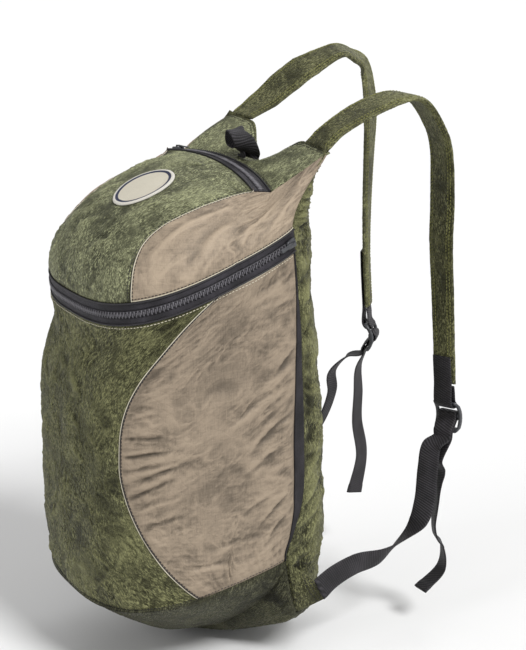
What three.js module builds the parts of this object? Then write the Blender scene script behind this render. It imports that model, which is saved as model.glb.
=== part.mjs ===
// Packable day pack, stuffed full and carried by its two shoulder straps.
// Millimetres: +X to the wearer's right, +Y towards the wearer, +Z up.
// Heights are worked out from the lowest point of the pack, and the whole pack is then
// placed with its origin where the shoulders carry the straps.

import * as THREE from "three";

// Body
const HALF_WIDTH = 118;
const FRONT_DEPTH = 112;
const BACK_DEPTH = 118;
const CORNER_POWER = 2.8;
const SEAM_ANGLE = 118;
const CLOTH = 1.5;
const SEAM_GAP = 0.3;
const CREST = 0.67;

// Base, whose seam climbs towards the back
const BASE_SEAM_HEIGHT = 61.5;
const BASE_SEAM_SLOPE = 0.22;
const BACK_PANEL_FOOT = 40;
const BASE_CENTRE = -5;
const BASE_TAPER = { front: 1.4, rear: 1.2 };
const BASE_SINK = { front: 2.2, rear: 1.0 };
const BASE_LIFT = 2;

// Front pocket zip, a slanting belt round the front and sides
const POCKET_ZIP_HEIGHT = 307;
const POCKET_ZIP_SLOPE = 0.365;
const ZIP_BAND = 18.5;
const COIL_WIDTH = 5.5;
const COIL_PROUD = 1;
const COIL_THICKNESS = 2.6;
const TAPE_THICKNESS = 1.2;
const SLIDER_WIDTH = 8;
const SLIDER_BACK = 5;
const SLIDER_FRONT = 4;
const SLIDER_THICKNESS = 2.4;
const PULL_WIDTH = 4;
const PULL_REACH = 14;

// Main zip across the top, and the yoke behind it with an ear for each strap
const MAIN_ZIP_HALF_LENGTH = 85;
const MAIN_ZIP_SETBACK = 38;
const MAIN_ZIP_HEIGHT = 432;
const MAIN_ZIP_BOW = 7;
const MAIN_ZIP_DROOP = 8;
const MAIN_ZIP_BAND = 19;
const TOP_LEAN = 5.5;
const EAR_SETBACK = 101;
const EAR_HEIGHT = 453;
const EAR_HALF_SPAN = 90;
const VALLEY_SETBACK = 84;
const VALLEY_HEIGHT = 427;

// Curved seam between the front panel and each lower side panel, as section angles
const CRESCENT_WAIST = 0.52;
const CRESCENT_FRONT_ANGLE = 38.6;
const CRESCENT_TOP_ANGLE = 85;
const CRESCENT_BASE_ANGLE = 78;

// Black tape along the lower back seams
const SIDE_TAPE_WIDTH = 12.5;
const SIDE_TAPE_THICKNESS = 2.4;

// Round patch on the lid
const PATCH_DIAMETER = 57;
const PATCH_THICKNESS = 1.6;
const PATCH_PLACE = 0.645;
const PATCH_CLEAR = 0.9;

// Shoulder straps
const STRAP_WIDTH = 41;
const STRAP_THICKNESS = 5;
const STRAP_REACH = 120;
const STRAP_DROP = 227;
const STRAP_SPREAD = 16;

// Webbing and buckles
const WEBBING_WIDTH = 20;
const WEBBING_THICKNESS = 1.8;
const BUCKLE_WIDTH = 28;
const BUCKLE_LENGTH = 29;
const BUCKLE_THICKNESS = 3.5;
const BUCKLE_BAR = 4;
const BUCKLE_ARCH = 6;
const BUCKLE_DISTANCE = 32;
const BUCKLE_STANDOFF = -2;
const LOOP_WIDTH = 18;

// Where the shoulders carry the straps
const SHOULDER_SETBACK = 185;
const SHOULDER_HEIGHT = 482;

// Body sections: heights are shares of the pocket zip's height, the rest are shares of
// the half width, the front depth and the back depth
const SECTIONS = [
  { height: 0.0, width: 0.86, front: 0.63, back: 0.83, seam: 121 },
  { height: 0.1, width: 0.93, front: 0.74, back: 0.95, seam: 119 },
  { height: 0.2, width: 0.975, front: 0.943, back: 0.97, seam: 112 },
  { height: 0.33, width: 1.0, front: 1.0, back: 0.995, seam: 106.5 },
  { height: 0.39, width: 1.0, front: 1.005, back: 1.0, seam: 110.5 },
  { height: 0.5, width: 1.0, front: 1.01, back: 1.0, seam: 117.5 },
  { height: 0.68, width: 1.0, front: 1.005, back: 0.995, seam: 118.0 },
  { height: 0.78, width: 1.0, front: 0.985, back: 0.975, seam: 118.5 },
  { height: 0.88, width: 1.0, front: 0.93, back: 0.935, seam: 119.5 },
  { height: 0.97, width: 1.0, front: 0.875, back: 0.91, seam: 120.5 },
  { height: 1.08, width: 1.0, front: 0.895, back: 0.88, seam: 119.5 },
  { height: 1.24, width: 0.98, front: 0.9, back: 0.875, seam: 117 },
  { height: 1.5, width: 0.9, front: 0.9, back: 0.875, seam: 116 },
];

// Width of the side tape by height on the lower shell, as a share of its full width
const TAPE_WIDTHS = [
  { height: 0.0, width: 0.1 },
  { height: 0.07, width: 0.3 },
  { height: 0.17, width: 0.75 },
  { height: 0.23, width: 1.0 },
  { height: 0.45, width: 1.0 },
  { height: 0.62, width: 0.7 },
  { height: 0.78, width: 0.45 },
  { height: 0.86, width: 0.2 },
  { height: 1.0, width: 0.12 },
];

// Right strap from its ear over the shoulder and down: shares of the reach, drop and
// spread, turns in degrees and the width as a share of the strap width
const RIGHT_STRAP = [
  { back: 0.0, up: 0.0, out: 0.0, toe: 0, roll: 0, width: 1.0 },
  { back: 0.1, up: 0.048, out: 0.06, toe: 0, roll: 0, width: 1.0 },
  { back: 0.345, up: 0.115, out: 0.12, toe: 0, roll: -6, width: 1.0 },
  { back: 0.61, up: 0.161, out: 0.2, toe: 0, roll: -6, width: 0.98 },
  { back: 0.728, up: 0.161, out: 0.25, toe: -2, roll: 0, width: 0.96 },
  { back: 0.825, up: 0.135, out: 0.31, toe: -4, roll: 2, width: 0.95 },
  { back: 0.945, up: 0.038, out: 0.47, toe: -3, roll: 0, width: 0.93 },
  { back: 0.99, up: -0.035, out: 0.56, toe: -2, roll: 0, width: 0.92 },
  { back: 1.0, up: -0.238, out: 0.75, toe: 3, roll: 0, width: 0.85 },
  { back: 0.987, up: -0.414, out: 0.9, toe: 7, roll: 0, width: 0.76 },
  { back: 1.01, up: -0.643, out: 0.97, toe: 13, roll: 0, width: 0.66 },
  { back: 1.037, up: -0.885, out: 1.0, toe: 19, roll: 0, width: 0.58 },
  { back: 1.05, up: -0.987, out: 1.02, toe: 20, roll: 0, width: 0.56 },
];

// Left strap, which stands a little higher and turns its edge outwards
const LEFT_STRAP = [
  { back: 0.0, up: 0.0, out: 0.0, toe: 0, roll: 0, width: 1.0 },
  { back: 0.195, up: 0.057, out: 0.06, toe: 4, roll: 14, width: 1.0 },
  { back: 0.378, up: 0.123, out: 0.12, toe: 4, roll: 20, width: 1.0 },
  { back: 0.57, up: 0.182, out: 0.2, toe: 6, roll: 20, width: 0.98 },
  { back: 0.862, up: 0.236, out: 0.25, toe: 22, roll: 10, width: 0.96 },
  { back: 0.99, up: 0.213, out: 0.29, toe: 34, roll: 4, width: 0.95 },
  { back: 1.095, up: 0.172, out: 0.31, toe: 42, roll: 2, width: 0.95 },
  { back: 1.165, up: 0.04, out: 0.4, toe: 47, roll: 0, width: 0.93 },
  { back: 1.185, up: -0.062, out: 0.5, toe: 48, roll: 0, width: 0.9 },
  { back: 1.19, up: -0.189, out: 0.65, toe: 46, roll: 0, width: 0.84 },
  { back: 1.195, up: -0.4, out: 0.85, toe: 43, roll: 0, width: 0.76 },
  { back: 1.21, up: -0.65, out: 1.0, toe: 40, roll: 0, width: 0.66 },
  { back: 1.245, up: -0.885, out: 1.09, toe: 42, roll: 0, width: 0.57 },
];

// Lower webbing from the wing to the buckle: shares of the way to the buckle along X, Y
// and Z, and the direction of the width, as x, y and z parts; the right one makes half a turn
const RIGHT_WEBBING = [
  { out: 0.0, back: 0.0, up: 0.0, x: -0.17, y: -0.58, z: 0.8 },
  { out: 0.226, back: 0.117, up: 0.036, x: -0.2, y: -0.14, z: 0.97 },
  { out: 0.45, back: 0.3, up: 0.069, x: -0.01, y: -0.07, z: 1 },
  { out: 0.693, back: 0.527, up: 0.05, x: 0.46, y: -0.15, z: 0.87 },
  { out: 0.833, back: 0.668, up: 0.12, x: 0.85, y: -0.45, z: 0.26 },
  { out: 0.858, back: 0.812, up: 0.268, x: 0.83, y: 0.52, z: 0.2 },
  { out: 0.915, back: 0.869, up: 0.43, x: 0.77, y: 0.63, z: -0.05 },
  { out: 0.985, back: 0.9, up: 0.728, x: 0.76, y: 0.6, z: 0.1 },
  { out: 1.02, back: 0.93, up: 0.93, x: 0.85, y: 0.48, z: 0 },
];
const LEFT_WEBBING = [
  { out: 0.0, back: 0.0, up: 0.0, x: 0.17, y: 0.58, z: -0.79 },
  { out: 0.14, back: 0.17, up: 0.1, x: 0.2, y: 0.3, z: -0.93 },
  { out: 0.3, back: 0.36, up: 0.13, x: 0.3, y: 0.2, z: -0.93 },
  { out: 0.48, back: 0.57, up: 0.23, x: 0.5, y: 0.4, z: -0.77 },
  { out: 0.6, back: 0.75, up: 0.45, x: 0.55, y: 0.75, z: -0.35 },
  { out: 0.7, back: 0.83, up: 0.7, x: 0.52, y: 0.85, z: -0.05 },
  { out: 0.79, back: 0.82, up: 0.86, x: 0.55, y: 0.83, z: 0 },
  { out: 0.9, back: 0.91, up: 0.97, x: 0.62, y: 0.78, z: 0 },
];

// Free tails from the buckle down: shares of each tail's own length, and the turn
const TAIL_LENGTH = { right: 150, left: 148 };
const RIGHT_TAIL = [
  { back: -0.045, down: 0.13, toe: -2 },
  { back: -0.01, down: 0.2, toe: -12 },
  { back: -0.035, down: 0.29, toe: -10 },
  { back: -0.04, down: 0.43, toe: -23 },
  { back: -0.053, down: 0.55, toe: -24 },
  { back: -0.033, down: 0.64, toe: -20 },
  { back: 0.013, down: 0.7, toe: -25 },
  { back: 0.013, down: 0.85, toe: -14 },
  { back: -0.14, down: 0.97, toe: -6 },
];
const LEFT_TAIL = [
  { back: -0.045, down: 0.1, toe: 50 },
  { back: -0.045, down: 0.28, toe: 58 },
  { back: -0.05, down: 0.48, toe: 60 },
  { back: -0.01, down: 0.73, toe: 64 },
  { back: -0.065, down: 1, toe: 80 },
];

// Grid sizes of the panels
const ACROSS = 16;
const EAR_STEPS = 6;
const ZIP_END_STEPS = 2;
const FOOT_STEPS = 3;
const LOWER_STEPS = 12;
const BAND_STEPS = 1;
const UPPER_STEPS = 7;
const SIDE_STEPS = 8;
const BASE_RINGS = 5;
const ZIP_STEPS = 32;

// Materials
function cloth(color, roughness) {
  return new THREE.MeshStandardMaterial({ color, roughness, metalness: 0 });
}
const olive = cloth(0x5d6545, 0.6);
const lidOlive = cloth(0x6b7352, 0.6);
const taupe = cloth(0xa39584, 0.7);
const blackTape = cloth(0x38363d, 0.8);
const blackWebbing = cloth(0x262427, 0.75);
const patchCloth = cloth(0xe4e0d6, 0.8);
const buckleGrey = cloth(0x4a4b4e, 0.45);

// Small helpers
const vec = (x, y, z) => new THREE.Vector3(x, y, z);
const mix = (a, b, t) => a + (b - a) * t;
const blend = (a, b, t) => a.clone().lerp(b, t);
const radians = THREE.MathUtils.degToRad;
const ease = (t) => THREE.MathUtils.smoothstep(t, 0, 1);
const signedPower = (value, power) => Math.sign(value) * Math.abs(value) ** power;

// Smooth value of one named column of a table at a place along another
function column(rows, along, name, at) {
  const last = rows.length - 1;
  if (at <= rows[0][along]) return rows[0][name];
  if (at >= rows[last][along]) return rows[last][name];
  let i = 0;
  while (rows[i + 1][along] < at) i += 1;
  const slope = (j) => {
    const before = rows[Math.max(j - 1, 0)];
    const after = rows[Math.min(j + 1, last)];
    return (after[name] - before[name]) / (after[along] - before[along]);
  };
  const span = rows[i + 1][along] - rows[i][along];
  const t = (at - rows[i][along]) / span;
  const from = rows[i][name];
  const to = rows[i + 1][name];
  const rise = slope(i) * span;
  const fall = slope(i + 1) * span;
  return from + t * (rise + t * (3 * (to - from) - 2 * rise - fall + t * (2 * (from - to) + rise + fall)));
}

function bezier(a, b, c, d, t) {
  const s = 1 - t;
  return a.clone().multiplyScalar(s * s * s)
    .addScaledVector(b, 3 * s * s * t)
    .addScaledVector(c, 3 * s * t * t)
    .addScaledVector(d, t * t * t);
}

// Body of the pack: a rounded section whose angle runs from the centre front
function bodyPoint(angle, height) {
  const level = height / POCKET_ZIP_HEIGHT;
  const sine = Math.sin(angle);
  const cosine = Math.cos(angle);
  const side = HALF_WIDTH * column(SECTIONS, "height", "width", level);
  const depth = cosine > 0
    ? FRONT_DEPTH * column(SECTIONS, "height", "front", level)
    : BACK_DEPTH * column(SECTIONS, "height", "back", level);
  const power = 2 / CORNER_POWER;
  return vec(side * signedPower(sine, power), -depth * signedPower(cosine, power), height);
}

// Section angles spaced evenly along the cloth, once for the front and once for the back
function evenAngles(from, to) {
  const steps = 240;
  const angles = [];
  const lengths = [0];
  let before = bodyPoint(radians(from), POCKET_ZIP_HEIGHT / 2);
  for (let i = 0; i <= steps; i += 1) {
    const angle = radians(mix(from, to, i / steps));
    const point = bodyPoint(angle, POCKET_ZIP_HEIGHT / 2);
    angles.push(angle);
    if (i > 0) lengths.push(lengths[i - 1] + point.distanceTo(before));
    before = point;
  }
  return { angles, lengths, total: lengths[steps] };
}
const front = evenAngles(0, SEAM_ANGLE);
const rear = evenAngles(180, SEAM_ANGLE);

function angleAt(ladder, share) {
  const target = Math.min(Math.abs(share), 1) * ladder.total;
  let i = 0;
  while (i < ladder.lengths.length - 2 && ladder.lengths[i + 1] < target) i += 1;
  const span = ladder.lengths[i + 1] - ladder.lengths[i];
  const t = (target - ladder.lengths[i]) / span;
  return mix(ladder.angles[i], ladder.angles[i + 1], t);
}

// The back seam wanders with height, and the cloth near it follows
function seamShift(share, height) {
  const seam = column(SECTIONS, "height", "seam", height / POCKET_ZIP_HEIGHT);
  return radians(seam - SEAM_ANGLE) * Math.abs(share) ** 6;
}
function frontAngle(u, height) {
  return Math.sign(u) * (angleAt(front, u) + seamShift(u, height));
}
function rearAngle(s, height) {
  return angleAt(rear, s) + seamShift(s, height);
}

// Share of the way from the centre front to the back seam at a section angle
function shareOf(degrees) {
  let i = 0;
  while (front.angles[i] < radians(degrees)) i += 1;
  return front.lengths[i] / front.total;
}

// Points of the shell, and their height where a slanting plane crosses it
const shellPoint = (u, height) => bodyPoint(frontAngle(u, height), height);
function onSlant(u, height, slope) {
  let level = height;
  for (let i = 0; i < 5; i += 1) level = height + slope * (shellPoint(u, level).y + FRONT_DEPTH);
  return level;
}
const baseSeamHeight = (u) => onSlant(u, BASE_SEAM_HEIGHT, BASE_SEAM_SLOPE);
const zipHeight = (u) => onSlant(u, POCKET_ZIP_HEIGHT, POCKET_ZIP_SLOPE);

// Lower shell, from the base seam to the pocket zip
function lowerShell(u, v) {
  return shellPoint(u, mix(baseSeamHeight(u), zipHeight(u), v));
}
function pocketZip(u, v) {
  return shellPoint(u, zipHeight(u) + ZIP_BAND * v);
}

// Share at which the curved seam crosses the lower shell
function crescent(v) {
  if (v > CRESCENT_WAIST) {
    const t = (v - CRESCENT_WAIST) / (1 - CRESCENT_WAIST);
    return shareOf(mix(CRESCENT_FRONT_ANGLE, CRESCENT_TOP_ANGLE, t ** 3.2));
  }
  const t = 1 - v / CRESCENT_WAIST;
  return shareOf(mix(CRESCENT_FRONT_ANGLE, CRESCENT_BASE_ANGLE, t ** 1.6));
}

// Share at which the side tape begins
function tapeShare(v) {
  return 1 - SIDE_TAPE_WIDTH * column(TAPE_WIDTHS, "height", "width", v) / front.total;
}

// Main zip: its front edge bows forward at both ends and droops a little
function mainZip(s, v) {
  return vec(
    MAIN_ZIP_HALF_LENGTH * s,
    MAIN_ZIP_SETBACK - MAIN_ZIP_BOW * s * s + MAIN_ZIP_BAND * v * (1 - 0.12 * s * s),
    MAIN_ZIP_HEIGHT - MAIN_ZIP_DROOP * s * s - TOP_LEAN * s - 2 * v,
  );
}

// Outer edge of an ear, from the end of the main zip to the strap's outer corner
function earEdge(side, t) {
  const from = mainZip(side, 1);
  const to = yokeRear(side);
  const belly = vec(side * 3 * Math.sin(Math.PI * t), 0, -2.5 * Math.sin(Math.PI * t));
  return blend(from, to, t).add(belly);
}

// Top line of the upper shell: zip edge, then the zip's end, then the ear
const ZIP_SHARE = 0.7;
const ZIP_END_SHARE = mix(ZIP_SHARE, 1, ZIP_END_STEPS / (ZIP_END_STEPS + EAR_STEPS));
function topLine(u) {
  const side = Math.sign(u);
  const reach = Math.abs(u);
  if (reach <= ZIP_SHARE) return mainZip(u / ZIP_SHARE, 0);
  if (reach <= ZIP_END_SHARE) {
    return mainZip(side, (reach - ZIP_SHARE) / (ZIP_END_SHARE - ZIP_SHARE));
  }
  return earEdge(side, (reach - ZIP_END_SHARE) / (1 - ZIP_END_SHARE));
}

// Fullness of the upper shell: how far it rises before it turns in, how far the turn
// reaches out and how far it drops, in millimetres, by share of the way round
const FULLNESS = [
  { share: 0.0, rise: 56, reach: 63, drop: 5 },
  { share: 0.25, rise: 52, reach: 59, drop: 6 },
  { share: 0.45, rise: 46, reach: 48, drop: 8 },
  { share: 0.6, rise: 30, reach: 28, drop: 12 },
  { share: 0.75, rise: 20, reach: 16, drop: 16 },
  { share: 1.0, rise: 20, reach: 15, drop: 17 },
];
function upperShell(u, v) {
  const foot = pocketZip(u, 1);
  const top = topLine(u);
  const share = Math.abs(u);
  const rise = column(FULLNESS, "share", "rise", share);
  const reach = column(FULLNESS, "share", "reach", share);
  const drop = column(FULLNESS, "share", "drop", share);
  const out = vec(foot.x - top.x, foot.y - top.y, 0).normalize();
  const low = foot.clone().add(vec(0, 0, rise)).addScaledVector(out, 2);
  const high = top.clone().addScaledVector(out, reach).add(vec(0, 0, -drop));
  return bezier(foot, low, high, top, v);
}

// Share at which the lid's side seam crosses the upper shell
const LID_SEAM = [
  { height: 0.0, share: 0.347 },
  { height: 0.12, share: 0.342 },
  { height: 0.25, share: 0.328 },
  { height: 0.36, share: 0.324 },
  { height: 0.46, share: 0.346 },
  { height: 0.55, share: 0.394 },
  { height: 0.68, share: 0.471 },
  { height: 0.83, share: 0.56 },
  { height: 0.95, share: 0.65 },
  { height: 1.0, share: ZIP_SHARE },
];
const lidSeam = (v) => column(LID_SEAM, "height", "share", v);

// Yoke: four edges filled in, with a valley between the ears
function yokeRear(s) {
  const across = Math.abs(s) * EAR_HALF_SPAN;
  const inner = EAR_HALF_SPAN - STRAP_WIDTH;
  const climb = ease(Math.min(across / inner, 1));
  return vec(
    s * EAR_HALF_SPAN,
    mix(VALLEY_SETBACK, EAR_SETBACK, climb),
    mix(VALLEY_HEIGHT, EAR_HEIGHT, climb) - TOP_LEAN * s,
  );
}
function yoke(s, t) {
  const share = (s + 1) / 2;
  const zipSide = mainZip(s, 1);
  const rearSide = yokeRear(s);
  const left = earEdge(-1, t);
  const right = earEdge(1, t);
  const flat = blend(mainZip(-1, 1), mainZip(1, 1), share)
    .lerp(blend(yokeRear(-1), yokeRear(1), share), t);
  return blend(zipSide, rearSide, t).add(blend(left, right, share)).sub(flat);
}

// Back seam from the foot of the back panel to the ear, in the rows that its panels share
const BACK_ROWS = FOOT_STEPS + LOWER_STEPS + BAND_STEPS + UPPER_STEPS;
function backSeam(side, row) {
  if (row <= FOOT_STEPS) {
    const height = mix(BACK_PANEL_FOOT, baseSeamHeight(1), row / FOOT_STEPS);
    return shellPoint(side, height);
  }
  if (row <= FOOT_STEPS + LOWER_STEPS) return lowerShell(side, (row - FOOT_STEPS) / LOWER_STEPS);
  if (row <= FOOT_STEPS + LOWER_STEPS + BAND_STEPS) {
    return pocketZip(side, (row - FOOT_STEPS - LOWER_STEPS) / BAND_STEPS);
  }
  return upperShell(side, (row - FOOT_STEPS - LOWER_STEPS - BAND_STEPS) / UPPER_STEPS);
}
const mirrored = (point) => point.clone().setX(-point.x);
function backPanel(s, t) {
  const row = t * BACK_ROWS;
  const arc = (at) => {
    const seam = blend(backSeam(1, at), mirrored(backSeam(-1, at)), (1 - s) / 2);
    const section = bodyPoint(rearAngle(s, seam.z), seam.z);
    const edge = bodyPoint(rearAngle(1, seam.z), seam.z);
    const middle = bodyPoint(Math.PI, seam.z);
    const swell = (section.y - edge.y) / (middle.y - edge.y);
    const crown = Math.max(middle.y, seam.y + 2);
    return vec(
      Math.sign(s) * seam.x * section.x / edge.x,
      mix(seam.y, crown, swell),
      seam.z,
    );
  };
  const settle = ease(Math.max((t - 0.72) / 0.28, 0));
  const miss = yokeRear(s).sub(arc(BACK_ROWS));
  return arc(row).addScaledVector(miss, settle);
}

// Signed volume of a closed mesh, which tells whether its faces point out
function volume(points, faces) {
  let sum = 0;
  for (const [a, b, c] of faces) {
    sum += points[a].dot(points[b].clone().cross(points[c])) / 6;
  }
  return sum;
}

function closedMesh(name, material, points, faces) {
  const turned = volume(points, faces) < 0;
  const geometry = new THREE.BufferGeometry();
  const positions = points.flatMap((p) => [p.x, p.y, p.z]);
  const indices = faces.flatMap(([a, b, c]) => (turned ? [a, c, b] : [a, b, c]));
  geometry.setAttribute("position", new THREE.Float32BufferAttribute(positions, 3));
  geometry.setIndex(indices);
  geometry.computeVertexNormals();
  const mesh = new THREE.Mesh(geometry, material);
  mesh.name = name;
  return mesh;
}

// Draws the four edges of a grid of points in by an amount, square to each edge
function drawIn(grid, amount) {
  const last = grid.length - 1;
  const end = grid[0].length - 1;
  const square = (here, inside, before, after) => {
    const along = after.clone().sub(before).normalize();
    const inwards = inside.clone().sub(here);
    return inwards.addScaledVector(along, -along.dot(inwards)).setLength(amount);
  };
  const moves = grid.map((line) => line.map(() => vec(0, 0, 0)));
  for (let j = 0; j <= end; j += 1) {
    const [low, high] = [Math.max(j - 1, 0), Math.min(j + 1, end)];
    moves[0][j].add(square(grid[0][j], grid[1][j], grid[0][low], grid[0][high]));
    moves[last][j].add(square(grid[last][j], grid[last - 1][j], grid[last][low], grid[last][high]));
  }
  for (let i = 0; i <= last; i += 1) {
    const [low, high] = [Math.max(i - 1, 0), Math.min(i + 1, last)];
    moves[i][0].add(square(grid[i][0], grid[i][1], grid[low][0], grid[high][0]));
    moves[i][end].add(square(grid[i][end], grid[i][end - 1], grid[low][end], grid[high][end]));
  }
  return grid.map((line, i) => line.map((p, j) => p.clone().add(moves[i][j])));
}

// Outward direction at each point of a grid
const HEART = vec(0, 10, 220);
function outward(grid) {
  const last = grid.length - 1;
  const end = grid[0].length - 1;
  return grid.map((line, i) => line.map((p, j) => {
    const along = grid[Math.min(i + 1, last)][j].clone().sub(grid[Math.max(i - 1, 0)][j]);
    const over = grid[i][Math.min(j + 1, end)].clone().sub(grid[i][Math.max(j - 1, 0)]);
    const normal = along.cross(over).normalize();
    return normal.dot(p.clone().sub(HEART)) < 0 ? normal.negate() : normal;
  }));
}

// A sewn panel: a surface of two shares given its thickness, drawn in to leave the seam gap
const PLAIN = { wall: CLOTH, proud: 0, mitre: 1.1, crest: 1 };
function panel(name, material, surface, columns, rows, options = {}) {
  const { wall, proud, mitre, crest } = { ...PLAIN, ...options };
  const exact = [];
  for (let i = 0; i <= columns; i += 1) {
    const line = [];
    for (let j = 0; j <= rows; j += 1) line.push(surface(i / columns, j / rows));
    exact.push(line);
  }
  const normals = outward(exact);
  const shift = (grid, by) => grid.map((line, i) => (
    line.map((p, j) => p.clone().addScaledVector(normals[i][j], by))
  ));
  const outer = shift(drawIn(exact, SEAM_GAP / 2), proud);
  const inner = shift(drawIn(exact, SEAM_GAP / 2 + mitre * wall), proud - wall);
  for (let i = 0; i <= columns; i += 1) {
    for (const j of [rows, rows - 1]) inner[i][j].lerp(outer[i][j], 1 - crest);
  }
  const points = [...outer.flat(), ...inner.flat()];
  const width = rows + 1;
  const half = (columns + 1) * width;
  const at = (i, j) => i * width + j;
  const faces = [];
  const quad = (a, b, c, d) => faces.push([a, b, c], [a, c, d]);
  for (let i = 0; i < columns; i += 1) {
    for (let j = 0; j < rows; j += 1) {
      const [a, b, c, d] = [at(i, j), at(i + 1, j), at(i + 1, j + 1), at(i, j + 1)];
      if (points[b].distanceTo(points[d]) > 0.75 * points[a].distanceTo(points[c])) {
        quad(a, b, c, d);
        quad(half + a, half + d, half + c, half + b);
      } else {
        quad(b, c, d, a);
        quad(half + b, half + a, half + d, half + c);
      }
    }
  }
  const wallAlong = (loop) => {
    for (let k = 0; k < loop.length; k += 1) {
      const a = loop[k];
      const b = loop[(k + 1) % loop.length];
      quad(b, a, half + a, half + b);
    }
  };
  const rim = [];
  for (let i = 0; i < columns; i += 1) rim.push(at(i, 0));
  for (let j = 0; j < rows; j += 1) rim.push(at(columns, j));
  for (let i = columns; i > 0; i -= 1) rim.push(at(i, rows));
  for (let j = rows; j > 0; j -= 1) rim.push(at(0, j));
  wallAlong(rim);
  return closedMesh(name, material, points, faces);
}

// Base: a bowl from the loop of its seams to a rounded bottom
function base(name, material) {
  const loop = [];
  for (let i = -ZIP_STEPS / 2; i < ZIP_STEPS / 2; i += 1) loop.push(lowerShell(i / (ZIP_STEPS / 2), 0));
  for (let i = FOOT_STEPS; i > 0; i -= 1) loop.push(backSeam(1, i));
  for (let i = ACROSS; i > 0; i -= 1) loop.push(backPanel(mix(-1, 1, i / ACROSS), 0));
  for (let i = 0; i < FOOT_STEPS; i += 1) loop.push(backSeam(-1, i));
  const centre = vec(0, BASE_CENTRE, BASE_LIFT);
  const bowl = (deep) => {
    const rings = [];
    for (let k = 0; k < BASE_RINGS; k += 1) {
      const turn = (Math.PI / 2) * (k / BASE_RINGS);
      rings.push(loop.map((edge) => {
        const back = (edge.y + FRONT_DEPTH) / (FRONT_DEPTH + BACK_DEPTH);
        const taper = mix(BASE_TAPER.front, BASE_TAPER.rear, back);
        const shrink = (1 - (SEAM_GAP + deep) / edge.distanceTo(centre)) * Math.cos(turn) ** taper;
        const sink = Math.sin(turn) ** mix(BASE_SINK.front, BASE_SINK.rear, back);
        const low = k === 0 ? SEAM_GAP / 2 + deep : 0;
        return vec(
          mix(centre.x, edge.x, shrink),
          mix(centre.y, edge.y, shrink),
          mix(edge.z, BASE_LIFT, sink) + deep * sink - low,
        );
      }));
    }
    return rings;
  };
  const outer = bowl(0);
  const inner = bowl(CLOTH);
  const count = loop.length;
  const points = [...outer.flat(), centre.clone(), ...inner.flat(), centre.clone().setZ(BASE_LIFT + CLOTH)];
  const half = BASE_RINGS * count + 1;
  const faces = [];
  const quad = (a, b, c, d) => faces.push([a, b, c], [a, c, d]);
  for (let i = 0; i < count; i += 1) {
    const next = (i + 1) % count;
    for (let k = 0; k < BASE_RINGS - 1; k += 1) {
      const a = k * count + i;
      const b = k * count + next;
      quad(a, b, b + count, a + count);
      quad(half + a, half + a + count, half + b + count, half + b);
    }
    const foot = (BASE_RINGS - 1) * count;
    faces.push([foot + i, foot + next, half - 1]);
    faces.push([half + foot + next, half + foot + i, 2 * half - 1]);
    quad(next, i, half + i, half + next);
  }
  return closedMesh(name, material, points, faces);
}

// A band carried along a line of stations, each with its place, width direction and sizes
function ribbon(name, material, stations, section) {
  const points = [];
  const count = section.length;
  stations.forEach((station, i) => {
    const before = stations[Math.max(i - 1, 0)].place;
    const after = stations[Math.min(i + 1, stations.length - 1)].place;
    const along = after.clone().sub(before).normalize();
    const across = station.across.clone().addScaledVector(along, -along.dot(station.across)).normalize();
    const up = along.clone().cross(across);
    for (const [x, y] of section) {
      points.push(station.place.clone()
        .addScaledVector(across, x * station.width / 2)
        .addScaledVector(up, y * station.thickness / 2));
    }
  });
  const faces = [];
  const end = (stations.length - 1) * count;
  for (let i = 0; i < end; i += count) {
    for (let k = 0; k < count; k += 1) {
      const next = (k + 1) % count;
      faces.push([i + k, i + next, i + count + next], [i + k, i + count + next, i + count + k]);
    }
  }
  for (let k = 1; k < count - 1; k += 1) {
    faces.push([0, k + 1, k], [end, end + k, end + k + 1]);
  }
  return closedMesh(name, material, points, faces);
}
const FLAT_SECTION = [[-1, -1], [1, -1], [1, 1], [-1, 1]];
const PADDED_SECTION = [
  [-1, -0.35], [-0.8, -0.9], [0, -1], [0.8, -0.9], [1, -0.35],
  [1, 0.35], [0.8, 0.9], [0, 1], [-0.8, 0.9], [-1, 0.35],
];

// Smooth run of stations through a few of them
function smoothRun(keys, steps) {
  const curve = new THREE.CatmullRomCurve3(keys.map((key) => key.place), false, "centripetal");
  const lines = [];
  for (let i = 0; i <= steps; i += 1) {
    const t = i / steps;
    const place = curve.getPoint(t);
    const seat = Math.min(t * (keys.length - 1), keys.length - 1.000001);
    const k = Math.floor(seat);
    const share = seat - k;
    lines.push({
      place,
      across: blend(keys[k].across, keys[k + 1].across, share).normalize(),
      width: mix(keys[k].width, keys[k + 1].width, share),
      thickness: mix(keys[k].thickness, keys[k + 1].thickness, share),
    });
  }
  return lines;
}

// Shoulder strap
function acrossFrom(side, toe, roll) {
  const turn = radians(toe);
  const lean = radians(roll);
  return vec(side * Math.cos(turn) * Math.cos(lean), Math.sin(turn) * Math.cos(lean), Math.sin(lean));
}
function strapKeys(side, rows) {
  const root = blend(yokeRear(side), yokeRear(side * (1 - STRAP_WIDTH / EAR_HALF_SPAN)), 0.5);
  const clear = SEAM_GAP + 0.5;
  return rows.map((row) => ({
    place: root.clone().add(vec(
      side * row.out * STRAP_SPREAD,
      row.back * STRAP_REACH + clear,
      row.up * STRAP_DROP + clear,
    )),
    across: acrossFrom(side, row.toe, row.roll),
    width: row.width * STRAP_WIDTH,
    thickness: STRAP_THICKNESS,
  }));
}

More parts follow.
